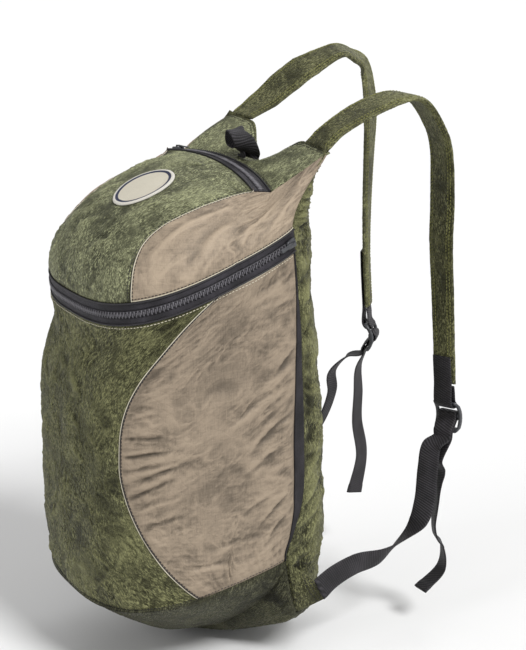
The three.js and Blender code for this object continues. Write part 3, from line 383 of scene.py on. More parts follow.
def base_bowl(loop, share):
    """Bowl: the loop shrinks to its middle by a power of the cosine while it sinks by the sine."""
    turn = share * np.pi / 2
    centre = np.array([0.0, BASE_CENTRE, BASE_LIFT])
    edge = loop[:, None, :]
    depth = (edge[..., 1] + FRONT_DEPTH) / (FRONT_DEPTH + BACK_DEPTH)
    taper = mix(BASE_TAPER["front"], BASE_TAPER["rear"], depth)
    inset = SEAM_GAP / np.linalg.norm(edge - centre, axis=-1)
    sink = np.sin(turn) ** mix(BASE_SINK["front"], BASE_SINK["rear"], depth)
    shrink = ((1 - inset) * np.cos(turn) ** taper)[..., None]
    ring = mix(centre, edge, shrink)
    ring[..., 2] = mix(edge[..., 2], BASE_LIFT, sink) - np.where(share == 0, SEAM_GAP / 2, 0)
    return ring


# Runs of straps and webbing

def spline(places, at):
    """Centripetal Catmull-Rom through places: gaps count by the square root of their length."""
    places = np.asarray(places, float)
    ends = np.concatenate([[2 * places[0] - places[1]], places, [2 * places[-1] - places[-2]]])
    seat = np.clip(at * (len(places) - 1), 0, len(places) - 1)
    i = np.minimum(seat.astype(int), len(places) - 2)
    t = (seat - i)[:, None]
    a, b, c, d = (ends[i + k] for k in range(4))
    pairs = ((a, b), (b, c), (c, d))
    before, here, after = (np.sqrt(np.linalg.norm(q - p, axis=1))[:, None] for p, q in pairs)
    first = ((b - a) / before - (c - a) / (before + here) + (c - b) / here) * here
    second = ((c - b) / here - (d - b) / (here + after) + (d - c) / after) * here
    return b + t * (first + t * (3 * (c - b) - 2 * first - second + t * (2 * (b - c) + first + second)))


class Run:
    """A band's stations: places on a spline, with the width's direction and sizes mixed between keys."""

    def __init__(self, places, across, widths, thickness, steps):
        at = np.linspace(0, 1, steps + 1)
        seat = at * (len(places) - 1)
        keys = np.arange(len(places))
        self.places = spline(places, at)
        ways = read_along(seat, keys, np.asarray(across))
        self.widths = np.interp(seat, keys, np.broadcast_to(widths, len(places)))
        self.thickness = thickness
        self.along = unit(np.gradient(self.places, axis=0))
        self.across = unit(ways - self.along * np.sum(self.along * ways, -1, keepdims=True))
        self.up = np.cross(self.along, self.across)
        self.lengths = run_lengths(self.places)


def across_from(side, toe, roll):
    """Width direction turned about the upright by toe and tipped by roll, in degrees."""
    turn, lean = np.radians(toe), np.radians(roll)
    return xyz(side * np.cos(turn) * np.cos(lean), np.sin(turn) * np.cos(lean), np.sin(lean))


STRAPS = {
    1: table(
        "back up out toe roll width",
        (0.0, 0.0, 0.0, 0, 0, 1.0), (0.1, 0.048, 0.06, 0, 0, 1.0), (0.345, 0.115, 0.12, 0, -6, 1.0),
        (0.61, 0.161, 0.2, 0, -6, 0.98), (0.728, 0.161, 0.25, -2, 0, 0.96),
        (0.825, 0.135, 0.31, -4, 2, 0.95), (0.945, 0.038, 0.47, -3, 0, 0.93),
        (0.99, -0.035, 0.56, -2, 0, 0.92), (1.0, -0.238, 0.75, 3, 0, 0.85),
        (0.987, -0.414, 0.9, 7, 0, 0.76), (1.01, -0.643, 0.97, 13, 0, 0.66),
        (1.037, -0.885, 1.0, 19, 0, 0.58), (1.05, -0.987, 1.02, 20, 0, 0.56),
    ),
    -1: table(
        "back up out toe roll width",
        (0.0, 0.0, 0.0, 0, 0, 1.0), (0.195, 0.057, 0.06, 4, 14, 1.0), (0.378, 0.123, 0.12, 4, 20, 1.0),
        (0.57, 0.182, 0.2, 6, 20, 0.98), (0.862, 0.236, 0.25, 22, 10, 0.96), (0.99, 0.213, 0.29, 34, 4, 0.95),
        (1.095, 0.172, 0.31, 42, 2, 0.95), (1.165, 0.04, 0.4, 47, 0, 0.93), (1.185, -0.062, 0.5, 48, 0, 0.9),
        (1.19, -0.189, 0.65, 46, 0, 0.84), (1.195, -0.4, 0.85, 43, 0, 0.76), (1.21, -0.65, 1.0, 40, 0, 0.66),
        (1.245, -0.885, 1.09, 42, 0, 0.57),
    ),
}
STRAP_CLEAR = SEAM_GAP + 0.5


def strap_run(side, steps):
    rows = STRAPS[side]
    root = mix(yoke_rear(float(side)), yoke_rear(side * (1 - STRAP_WIDTH / EAR_HALF_SPAN)), 0.5)
    places = root + xyz(
        side * rows["out"] * STRAP_SPREAD,
        rows["back"] * STRAP_REACH + STRAP_CLEAR,
        rows["up"] * STRAP_DROP + STRAP_CLEAR,
    )
    across = across_from(side, rows["toe"], rows["roll"])
    return Run(places, across, rows["width"] * STRAP_WIDTH, STRAP_THICKNESS, steps)


# Buckles and webbing

WEBBING_WIDTH, WEBBING_THICKNESS, LOOP_WIDTH = 20.0, 1.8, 18.0
BUCKLE_WIDTH, BUCKLE_LENGTH, BUCKLE_THICKNESS = 28.0, 29.0, 3.5
BUCKLE_BAR, BUCKLE_ARCH, BUCKLE_DISTANCE, BUCKLE_STANDOFF = 4.0, 6.0, 32.0, -2.0
SLOT_LOW, SLOT_HIGH = BUCKLE_BAR / 2, BUCKLE_LENGTH / 2 - BUCKLE_BAR
WEBBING_CLEAR = WEBBING_THICKNESS / 2 + 0.5
STRAP_STEPS, TONGUE_STATIONS, TAIL_LENGTH = 34, 4, {1: 150.0, -1: 148.0}
WEBBINGS = {
    1: table(
        "out back up x y z",
        (0, 0, 0, -0.17, -0.58, 0.8), (0.226, 0.117, 0.036, -0.2, -0.14, 0.97),
        (0.45, 0.3, 0.069, -0.01, -0.07, 1), (0.693, 0.527, 0.05, 0.46, -0.15, 0.87),
        (0.833, 0.668, 0.12, 0.85, -0.45, 0.26), (0.858, 0.812, 0.268, 0.83, 0.52, 0.2),
        (0.915, 0.869, 0.43, 0.77, 0.63, -0.05), (0.985, 0.9, 0.728, 0.76, 0.6, 0.1),
        (1.02, 0.93, 0.93, 0.85, 0.48, 0),
    ),
    -1: table(
        "out back up x y z",
        (0.0, 0.0, 0.0, 0.17, 0.58, -0.79), (0.14, 0.17, 0.1, 0.2, 0.3, -0.93),
        (0.3, 0.36, 0.13, 0.3, 0.2, -0.93), (0.48, 0.57, 0.23, 0.5, 0.4, -0.77),
        (0.6, 0.75, 0.45, 0.55, 0.75, -0.35), (0.7, 0.83, 0.7, 0.52, 0.85, -0.05),
        (0.79, 0.82, 0.86, 0.55, 0.83, 0), (0.9, 0.91, 0.97, 0.62, 0.78, 0),
    ),
}
TAILS = {
    1: table(
        "back down toe",
        (-0.045, 0.13, -2), (-0.01, 0.2, -12), (-0.035, 0.29, -10), (-0.04, 0.43, -23), (-0.053, 0.55, -24),
        (-0.033, 0.64, -20), (0.013, 0.7, -25), (0.013, 0.85, -14), (-0.14, 0.97, -6),
    ),
    -1: table(
        "back down toe",
        (-0.045, 0.1, 50), (-0.045, 0.28, 58), (-0.05, 0.48, 60), (-0.01, 0.73, 64), (-0.065, 1, 80),
    ),
}


class BuckleFrame:
    """Axes of a buckle that hangs from its strap's end: across, up and out from the bag."""

    def __init__(self, side):
        self.strap = strap_run(side, STRAP_STEPS)
        end = self.strap.places[-1]
        self.up = unit(self.strap.places[-3] - end)
        across = -side * self.key_across(side)
        self.across = unit(across - self.up * np.dot(self.up, across))
        self.face = np.cross(self.across, self.up)
        self.centre = end - self.up * BUCKLE_DISTANCE + self.face * BUCKLE_STANDOFF

    def key_across(self, side):
        rows = STRAPS[side]
        return across_from(side, rows["toe"][-1], rows["roll"][-1])

    def place(self, along, over, aside=0.0):
        along, over, aside = (np.asarray(v, float)[..., None] for v in (along, over, aside))
        return self.centre + self.up * along + self.face * over + self.across * aside


def arch_at(y):
    """Parabola over the buckle's length."""
    return BUCKLE_ARCH * (1 - (2 * y / BUCKLE_LENGTH) ** 2)


def on_plate(y, middle, face, clear=WEBBING_CLEAR):
    """Middle of webbing lying on a face of the arched plate, square to it at its bar's middle."""
    slope = -8 * BUCKLE_ARCH * middle / BUCKLE_LENGTH ** 2
    steep = math.hypot(slope, 1)
    return y - face * clear * slope / steep, arch_at(y) + face * (BUCKLE_THICKNESS / 2 + clear / steep)


def round_edge(y, middle, face, way):
    """The same round an edge of the plate, halfway between its face and its open side."""
    slope = -8 * BUCKLE_ARCH * middle / BUCKLE_LENGTH ** 2
    steep = math.hypot(slope, 1)
    turn = (way - face * slope / steep, face / steep)
    length = math.hypot(*turn)
    return (
        y + WEBBING_CLEAR * turn[0] / length,
        arch_at(y) + face * BUCKLE_THICKNESS / 2 + WEBBING_CLEAR * turn[1] / length,
    )


def strap_end_run(buckle, steps):
    """Webbing from the inner face of the strap's end, round the top bar and back up."""
    top = BUCKLE_LENGTH / 2
    middle = (top + SLOT_HIGH) / 2
    inner = STRAP_THICKNESS / 2 + WEBBING_THICKNESS / 2 + SEAM_GAP + 0.2
    tongue = buckle.strap.places[-TONGUE_STATIONS:] - inner * buckle.face
    turns = [
        on_plate(top, middle, -1),
        round_edge(SLOT_HIGH, middle, -1, -1),
        round_edge(SLOT_HIGH, middle, 1, -1),
        on_plate(top, middle, 1),
        (BUCKLE_DISTANCE - 8, 0.5 - BUCKLE_STANDOFF),
        (BUCKLE_DISTANCE - 2.5, -BUCKLE_STANDOFF),
    ]
    places = np.concatenate([tongue, buckle.place(*np.array(turns).T)])
    return Run(places, np.tile(buckle.across, (len(places), 1)), WEBBING_WIDTH, WEBBING_THICKNESS, steps)


def round_middle(buckle):
    """Webbing up the inner side, over the middle bar and down behind the lip."""
    foot = -BUCKLE_LENGTH / 2
    middle = (foot - SLOT_HIGH) / 2
    beside = 3 * WEBBING_CLEAR
    low_y, low_z = on_plate(foot, middle, -1, beside)
    turns = [
        (low_y - 6, low_z - 1.5),
        (low_y, low_z),
        on_plate(-SLOT_HIGH, middle, -1, beside),
        on_plate(-SLOT_LOW, 0, -1),
        round_edge(SLOT_LOW, 0, -1, 1),
        round_edge(SLOT_LOW, 0, 1, 1),
        round_edge(-SLOT_LOW, 0, 1, -1),
        (-SLOT_LOW - WEBBING_THICKNESS, BUCKLE_ARCH - 1),
        on_plate(-SLOT_HIGH, middle, -1),
        on_plate(foot, middle, -1),
        (foot - 5, -BUCKLE_THICKNESS - 1),
    ]
    return buckle.place(*np.array(turns).T)


WING = table("out back up", (1.0, 0.5, -1), (7.5, 20.5, -17), (11.5, 34.5, -36), (1.0, 0.6, 2))


def wing_corner(side, index):
    """Corner of the wing beside the top or the foot of the back seam's lowest stretch."""
    seam = back_seam(1.0, FOOT_ROWS if index < 3 else 0.0)
    out, back, up = (WING[name][index] for name in ("out", "back", "up"))
    return np.array([side * (seam[0] + out), seam[1] + back, seam[2] + up])


def wing(side, s, t):
    """Flat between four corners, with its root following the seam's bow."""
    top, upper, lower, foot = (wing_corner(side, k) for k in range(4))
    head, heel = back_seam(1.0, FOOT_ROWS), back_seam(1.0, 0.0)
    t = np.asarray(t, float)[..., None]
    bow = (back_seam(1.0, FOOT_ROWS * (1 - t[..., 0])) - mix(head, heel, t)) * [side, 1, 1]
    return mix(mix(top, foot, t) + bow, mix(upper, lower, t), np.asarray(s, float)[..., None])


def lower_webbing_run(side, buckle, steps):
    """Webbing from the wing to the buckle, round its middle bar and down as a free tail."""
    start = mix(wing_corner(side, 1), wing_corner(side, 2), 0.5)
    root = mix(wing_corner(side, 0), wing_corner(side, 3), 0.5)
    start = start + unit(start - root) * 1.3 + [side * 0.75, 0, 0]
    bend = round_middle(buckle)
    rows, tail = WEBBINGS[side], TAILS[side]
    way = bend[0] - start
    route = start + xyz(rows["out"] * way[0], rows["back"] * way[1], rows["up"] * way[2])
    hang = bend[-1] + xyz(0 * tail["back"], tail["back"], -tail["down"]) * TAIL_LENGTH[side]
    places = np.concatenate([route, bend, hang])
    across = np.concatenate([
        unit(xyz(side * rows["x"], rows["y"], rows["z"])),
        np.tile(-side * buckle.across, (len(bend), 1)),
        across_from(side, tail["toe"], 0 * tail["toe"]),
    ])
    return Run(places, across, WEBBING_WIDTH, WEBBING_THICKNESS, steps)


HAUL_LOOP = table(
    "x y up east north rise",
    (3, 71, 0, 1, 0.15, 0), (3.2, 70.9, 3, 1, 0.2, 0), (8, 68.5, 7, 0.75, 0.65, 0.05),
    (9, 61.5, 16, 0.1, 0.99, 0.1), (5, 58, 23, -0.35, 0.93, 0.1), (0, 57.5, 25, -0.45, 0.88, 0.1),
    (-5, 58.5, 22, -0.35, 0.93, 0.1), (-9, 62, 15, -0.1, 0.99, 0.05), (-8, 65, 8, -0.6, 0.8, 0),
    (-3.2, 66, 3, -1, 0.15, 0), (-3, 66, 0, -1, 0.1, 0),
)


def haul_loop_run(steps):
    """Loop that stands in the valley between the ears and leans forwards."""
    rows = HAUL_LOOP
    seat = yoke(0.0, 0.3)[2] + SEAM_GAP + 2.4
    places = xyz(rows["x"], rows["y"], seat + rows["up"])
    across = unit(xyz(rows["east"], rows["north"], rows["rise"]))
    return Run(places, across, LOOP_WIDTH, WEBBING_THICKNESS, steps)


# Noise and folds, on flat coordinates in millimetres

def hashed(i, j, seed):
    """Even values from -1 to 1 for whole numbers, by mixing their bits."""
    h = (i.astype(np.int64) * 374761393 + j.astype(np.int64) * 668265263 + seed * 974634777) & 0xFFFFFFFF
    h = ((h ^ (h >> 13)) * 1274126177) & 0xFFFFFFFF
    return ((h ^ (h >> 16)) & 0xFFFF) / 32767.5 - 1


def noise(x, y, seed):
    """Gradient noise: a slope at each whole corner, blended by fifth-degree steps."""
    i, j = np.floor(x).astype(np.int64), np.floor(y).astype(np.int64)
    fx, fy = x - i, y - j

    def corner(a, b):
        turn = hashed(i + a, j + b, seed) * np.pi
        return np.cos(turn) * (fx - a) + np.sin(turn) * (fy - b)

    wx, wy = (f ** 3 * (f * (f * 6 - 15) + 10) for f in (fx, fy))
    return 1.5 * mix(mix(corner(0, 0), corner(1, 0), wx), mix(corner(0, 1), corner(1, 1), wx), wy)


def ridges(x, y, seed, sharp=3.0):
    """Sharp crests where the noise crosses nought, from 0 to 1."""
    return np.clip(1 - sharp * np.abs(noise(x, y, seed)), 0, 1) ** 2


def crumple(x, y, seed, stretch=1.0):
    """Crumpled cloth: soft dents, then creases at three sizes, each bent by the size above."""
    wide = noise(x / 46, y / (46 * stretch), seed)
    bend_x, bend_y = (9 * noise(x / 24, y / 24, seed + k) for k in (1, 2))
    x2, y2 = x + bend_x, y + bend_y
    patchy = 0.55 + 0.6 * noise(x / 31, y / 31, seed + 3)
    creases = ridges(x2 / 17, y2 / (17 * stretch), seed + 4)
    creases = creases - 0.6 * ridges(x2 / 13, y2 / (15 * stretch), seed + 5)
    small = ridges(x2 / 7.5, y2 / (7.5 * stretch), seed + 6)
    small = small - ridges(x2 / 6.3, y2 / (6.8 * stretch), seed + 7)
    fine = noise(x / 3.4, y / (3.9 * stretch), seed + 8)
    return wide, patchy * creases, patchy * small, fine


def fold_heights(x, y, size, rows):
    """Sum of folds: each a bent line with a crest and a trough beside it, fading towards its ends."""
    total = np.zeros_like(x)
    for s0, t0, s1, t1, sag, width, height in np.asarray(rows, float):
        ax, ay = s0 * size[0], t0 * size[1]
        dx, dy = s1 * size[0] - ax, t1 * size[1] - ay
        length = math.hypot(dx, dy)
        along = ((x - ax) * dx + (y - ay) * dy) / length ** 2
        off = ((y - ay) * dx - (x - ax) * dy) / length - sag * 4 * along * (1 - along)
        fade = np.sin(np.pi * np.clip(along, 0, 1)) ** 0.7
        crest = np.exp(-(off / width) ** 2) - 0.55 * np.exp(-((off - 1.7 * width) / (1.1 * width)) ** 2)
        total += height * fade * crest
    return total


# Meshes

def new_mesh(name, points, quads, triangles=(), uv=None, relief=None):
    """Mesh in metres from points in millimetres, with smooth faces."""
    mesh = bpy.data.meshes.new(name)
    quads = np.asarray(quads, np.int32).reshape(-1, 4)
    triangles = np.asarray(triangles, np.int32).reshape(-1, 3)
    corners = np.concatenate([quads.ravel(), triangles.ravel()])
    starts = np.concatenate([np.arange(len(quads)) * 4, len(quads) * 4 + np.arange(len(triangles)) * 3])
    mesh.vertices.add(len(points))
    mesh.vertices.foreach_set("co", ((points - MOUNT) * MM).astype(np.float32).ravel())
    mesh.loops.add(len(corners))
    mesh.loops.foreach_set("vertex_index", corners)
    mesh.polygons.add(len(starts))
    mesh.polygons.foreach_set("loop_start", starts.astype(np.int32))
    mesh.update(calc_edges=True)
    mesh.polygons.foreach_set("use_smooth", np.ones(len(starts), bool))
    if uv is not None:
        layer = mesh.uv_layers.new(name="cloth")
        layer.data.foreach_set("uv", uv[corners].astype(np.float32).ravel())
    if relief is not None:
        mesh.attributes.new("relief", "FLOAT", "POINT").data.foreach_set("value", relief.astype(np.float32))
    mesh.validate()
    return mesh


def add_piece(name, mesh, material, nodes=()):
    """Puts a mesh in the scene as a piece of the pack, in place of the frame's nodes."""
    piece = bpy.data.objects.new(name, mesh)
    bpy.context.scene.collection.objects.link(piece)
    mesh.materials.append(material)
    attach(piece, "root")
    if nodes:
        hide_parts(*nodes)
    return piece


def outward(points):
    """Unit normals of a grid from its two gradients, away from the middle of the bag."""
    normal = unit(np.cross(np.gradient(points, axis=0), np.gradient(points, axis=1)))
    way = 1 if np.sum(normal * (points - HEART)) > 0 else -1
    return normal * way, way


def edge_lengths(points):
    """Length of cloth from a grid's first edges, along each of its two directions."""
    across = np.cumsum(np.linalg.norm(np.diff(points, axis=0, prepend=points[:1]), axis=-1), 0)
    upwards = np.cumsum(np.linalg.norm(np.diff(points, axis=1, prepend=points[:, :1]), axis=-1), 1)
    return across, upwards


def shell_mesh(name, outer, inner, way, uv, relief, step):
    """Closes a fine outer grid over an inner grid with every step-th of its lines."""
    n, m = outer.shape[0] - 1, outer.shape[1] - 1
    big = np.arange((n + 1) * (m + 1)).reshape(n + 1, m + 1)
    small = big[-1, -1] + 1 + np.arange(inner.shape[0] * inner.shape[1]).reshape(inner.shape[:2])
    faces = np.stack([big[:-1, :-1], big[1:, :-1], big[1:, 1:], big[:-1, 1:]], -1).reshape(-1, 4)
    lining = np.stack([small[:-1, :-1], small[:-1, 1:], small[1:, 1:], small[1:, :-1]], -1).reshape(-1, 4)

    def rim(ids):
        return np.concatenate([ids[:-1, 0], ids[-1, :-1], ids[:0:-1, -1], ids[0, :0:-1]])

    edge, hem = rim(big), rim(small)
    k = np.arange(len(edge))
    turns = np.stack([edge[(k + 1) % len(edge)], edge[k], hem[k // step]], -1)
    q = np.arange(len(hem))
    closes = np.stack([edge[(q + 1) * step % len(edge)], hem[q], hem[(q + 1) % len(hem)]], -1)
    quads, triangles = np.concatenate([faces, lining]), np.concatenate([turns, closes])
    if way < 0:
        quads, triangles = quads[:, ::-1], triangles[:, ::-1]
    points = np.concatenate([outer.reshape(-1, 3), inner.reshape(-1, 3)])
    flat = np.concatenate([uv.reshape(-1, 2), uv[::step, ::step].reshape(-1, 2)])
    height = np.concatenate([relief.ravel(), np.zeros(inner.shape[0] * inner.shape[1])])
    return new_mesh(name, points, quads, triangles, flat, height)


class Cloth:
    """A sewn panel worked out on a grid: its surface, moved along its normals by its relief."""

    def __init__(self, name, surface, cells, seed, look, folds):
        self.name, self.step = name, 4
        n, m = (self.step * round(c / self.step) for c in cells)
        self.s, self.t = np.meshgrid(np.linspace(0, 1, n + 1), np.linspace(0, 1, m + 1), indexing="ij")
        base = surface(self.s, self.t)
        across, upwards = edge_lengths(base)
        self.wide, self.tall = across[-1].mean(), upwards[:, -1].mean()
        inset = [SEAM_GAP / 2 / self.wide, SEAM_GAP / 2 / self.tall]
        base = surface(mix(inset[0], 1 - inset[0], self.s), mix(inset[1], 1 - inset[1], self.t))
        self.normal, self.way = outward(base)
        self.x, self.y = self.s * self.wide, self.t * self.tall
        self.edges = {
            "left": across,
            "right": across[-1:] - across,
            "foot": upwards,
            "top": upwards[:, -1:] - upwards,
        }
        high, fine = self.relief(seed, look, folds)
        self.points = base + self.normal * high[..., None]
        uv = np.stack([self.x, self.y], -1) * MM
        coarse = np.s_[::self.step, ::self.step]
        low = high[coarse].copy()
        for a, b in itertools.product((-2, -1, 0, 1, 2), repeat=2):
            rows = np.clip(np.arange(0, n + 1, self.step) + a, 0, n)
            columns = np.clip(np.arange(0, m + 1, self.step) + b, 0, m)
            low = np.minimum(low, high[np.ix_(rows, columns)])
        inner = base[coarse] + self.normal[coarse] * (low - CLOTH)[..., None]
        self.mesh = shell_mesh(name, self.points, inner, self.way, uv, fine, self.step)

    def relief(self, seed, look, folds):
        """Seam dips and puckers by the distance to each edge, then folds and crumples between them."""
        high, hold, shown = np.zeros_like(self.s), np.ones_like(self.s), np.zeros_like(self.s)
        for number, (edge, far) in enumerate(self.edges.items()):
            dip, width, pucker, pitch, reach = look["edges"][edge]
            line = self.y if edge in ("left", "right") else self.x
            lean = line + 0.35 * far * np.sin(line / 23 + number)
            gather = noise(lean / pitch, far / (2.6 * pitch), seed + 40 + number)
            gather = gather + 0.6 * ridges(lean / (0.8 * pitch), far / (3 * pitch), seed + 50 + number, 2.2)
            high -= dip * np.exp(-far / width)
            ends = smooth(np.minimum(line, line.max() - line) / 16)
            gather = pucker * ends * gather * (far / reach) * np.exp(1 - far / reach)
            high += gather
            shown += gather
            hold *= smooth(far / 5.0)
        wide, creases, small, fine = crumple(self.x, self.y, seed, look.get("stretch", 1.0))
        tiny = look["creases"] * creases + look["small"] * small + look["fine"] * fine
        laid = fold_heights(self.x, self.y, (self.wide, self.tall), folds)
        if "calm" in look:
            s0, t0, radius = look["calm"]
            away = np.hypot(self.x - s0 * self.wide, self.y - t0 * self.tall)
            hold = hold * mix(0.12, 1.0, smooth((away - radius) / 12))
        high += hold * (look["wide"] * wide + tiny + laid) + look.get("proud", 0.0)
        # The second array is the fine relief that the materials turn into painted shade in hollows and
        # painted highlight on ridges and puckers
        return high, hold * (tiny + 0.8 * laid + 0.22 * look["wide"] * wide) + 0.7 * shown

    def at(self, s, t, grid=None):
        """Value at shares of the panel, mixed between its four nearest grid points."""
        grid = self.points if grid is None else grid
        n, m = grid.shape[0] - 1, grid.shape[1] - 1
        x, y = np.clip(s, 0, 1) * n, np.clip(t, 0, 1) * m
        i, j = np.minimum(x.astype(int), n - 1), np.minimum(y.astype(int), m - 1)
        fx, fy = (x - i)[:, None], (y - j)[:, None]
        return mix(mix(grid[i, j], grid[i + 1, j], fx), mix(grid[i, j + 1], grid[i + 1, j + 1], fx), fy)

    def line(self, edge, inset, start=0.0, stop=1.0, steps=400):
        """Points and normals along a line that keeps a distance from an edge."""
        run = np.linspace(start, stop, steps)
        lengths = {"left": self.edges["left"][-1], "foot": self.edges["foot"][:, -1]}
        if edge in ("left", "right"):
            share = inset / np.interp(run, np.linspace(0, 1, len(lengths["left"])), lengths["left"])
            s, t = (share if edge == "left" else 1 - share), run
        else:
            share = inset / np.interp(run, np.linspace(0, 1, len(lengths["foot"])), lengths["foot"])
            s, t = run, (share if edge == "foot" else 1 - share)
        return self.at(s, t), unit(self.at(s, t, self.normal))


def tube_mesh(name, rings, uv, relief=None):
    """Closed tube from rings of points, [station, point, xyz], with a fan at each end."""
    count, sides = rings.shape[:2]
    ids = np.arange(count * sides).reshape(count, sides)
    after = np.roll(ids, -1, axis=1)
    quads = np.stack([ids[:-1], after[:-1], after[1:], ids[1:]], -1).reshape(-1, 4)
    ends = np.array([count * sides, count * sides + 1])
    first = np.stack([after[0], ids[0], np.full(sides, ends[0])], -1)
    final = np.stack([ids[-1], after[-1], np.full(sides, ends[1])], -1)
    points = np.concatenate([rings.reshape(-1, 3), rings[0].mean(0)[None], rings[-1].mean(0)[None]])
    flat = np.concatenate([uv.reshape(-1, 2), uv[0].mean(0)[None], uv[-1].mean(0)[None]])
    height = None if relief is None else np.concatenate([relief.ravel(), [0, 0]])
    return new_mesh(name, points, quads, np.concatenate([first, final]), flat, height)


def stitch_mesh(name, lines, length, gap, radius):
    """Stitches along lines of points and normals: short six-sided spindles, half sunk in the cloth."""
    starts, ways, ups = [], [], []
    for places, normals in lines:
        run = run_lengths(places)
        seats = np.arange(length, run[-1] - length, length + gap)
        starts.append(read_along(seats, run, places))
        ways.append(unit(read_along(seats, run, np.gradient(places, run, axis=0))))
        ups.append(unit(read_along(seats, run, normals)))
    centre, way, up = (np.concatenate(part) for part in (starts, ways, ups))
    return spindles(name, centre + up * radius * 0.35, way, up, length, radius)


def spindles(name, centre, way, up, length, radius):
    """Six-sided spindles with two rings and two tips, laid along their ways."""
    side = np.cross(way, up)
    turns = np.arange(6) * np.pi / 3
    count = len(centre)
    ring = np.cos(turns)[:, None] * side[:, None] + np.sin(turns)[:, None] * up[:, None]
    low, high = (centre[:, None] + k * 0.36 * length * way[:, None] + radius * ring for k in (-1, 1))
    tips = [(centre + k * length / 2 * way)[:, None] for k in (-1, 1)]
    points = np.concatenate([low, high, *tips], axis=1)
    k = np.arange(6)
    n = (k + 1) % 6
    quads = np.stack([k, n, n + 6, k + 6], -1)
    first, final = np.full(6, 12), np.full(6, 13)
    fans = np.concatenate([np.stack([n, k, first], -1), np.stack([k + 6, n + 6, final], -1)])
    steps = (np.arange(count) * 14)[:, None, None]
    handed = np.sum(np.cross(side, up) * way, -1).mean() > 0
    quads, fans = (quads, fans) if handed else (quads[:, ::-1], fans[:, ::-1])
    quads, fans = (quads + steps).reshape(-1, 4), (fans + steps).reshape(-1, 3)
    return new_mesh(name, points.reshape(-1, 3), quads, fans)


def cord_mesh(name, places, radius, sides=8):
    """Thin round cord along a line of places."""
    way = unit(np.gradient(places, axis=0))
    side = unit(np.cross(way, [0.0, 0.0, 1.0]))
    up = np.cross(side, way)
    turn = np.linspace(0, 2 * np.pi, sides, endpoint=False)
    ring = np.cos(turn)[:, None] * up[:, None] + np.sin(turn)[:, None] * side[:, None]
    rings = places[:, None] + radius * ring
    return tube_mesh(name, rings, np.zeros(rings.shape[:2] + (2,)))


# Materials

def linear(code):
    """Scene colour from a six-figure hexadecimal one, by the sRGB curve."""
    parts = (int(code[k:k + 2], 16) / 255 for k in (0, 2, 4))
    return tuple(p / 12.92 if p <= 0.04045 else ((p + 0.055) / 1.055) ** 2.4 for p in parts)


class Socket:
    """An output of a node; sums and products of it add Math nodes."""

    def __init__(self, paint, output):
        self.paint, self.output = paint, output

    def __add__(self, other):
        return self.paint.math("ADD", self, other)

    def __sub__(self, other):
        return self.paint.math("SUBTRACT", self, other)

    def __rsub__(self, other):
        return self.paint.math("SUBTRACT", other, self)

    def __mul__(self, other):
        return self.paint.math("MULTIPLY", self, other)

    def __truediv__(self, other):
        return self.paint.math("DIVIDE", self, other)

    def __pow__(self, other):
        return self.paint.math("POWER", self, other)

    def __abs__(self):
        return self.paint.math("ABSOLUTE", self)

    __radd__ = __add__
    __rmul__ = __mul__

    def fraction(self):
        return self.paint.math("FRACT", self)

    def sine(self):
        return self.paint.math("SINE", self)

    def ramp(self, low, high):
        """0 below low, 1 above high, and smooth between; turned over where low is the larger."""
        if low > high:
            return 1 - self.ramp(high, low)
        values = {"Value": self, "From Min": low, "From Max": high}
        node = self.paint.node("ShaderNodeMapRange", {"interpolation_type": "SMOOTHSTEP"}, values)
        return Socket(self.paint, node.outputs[0])


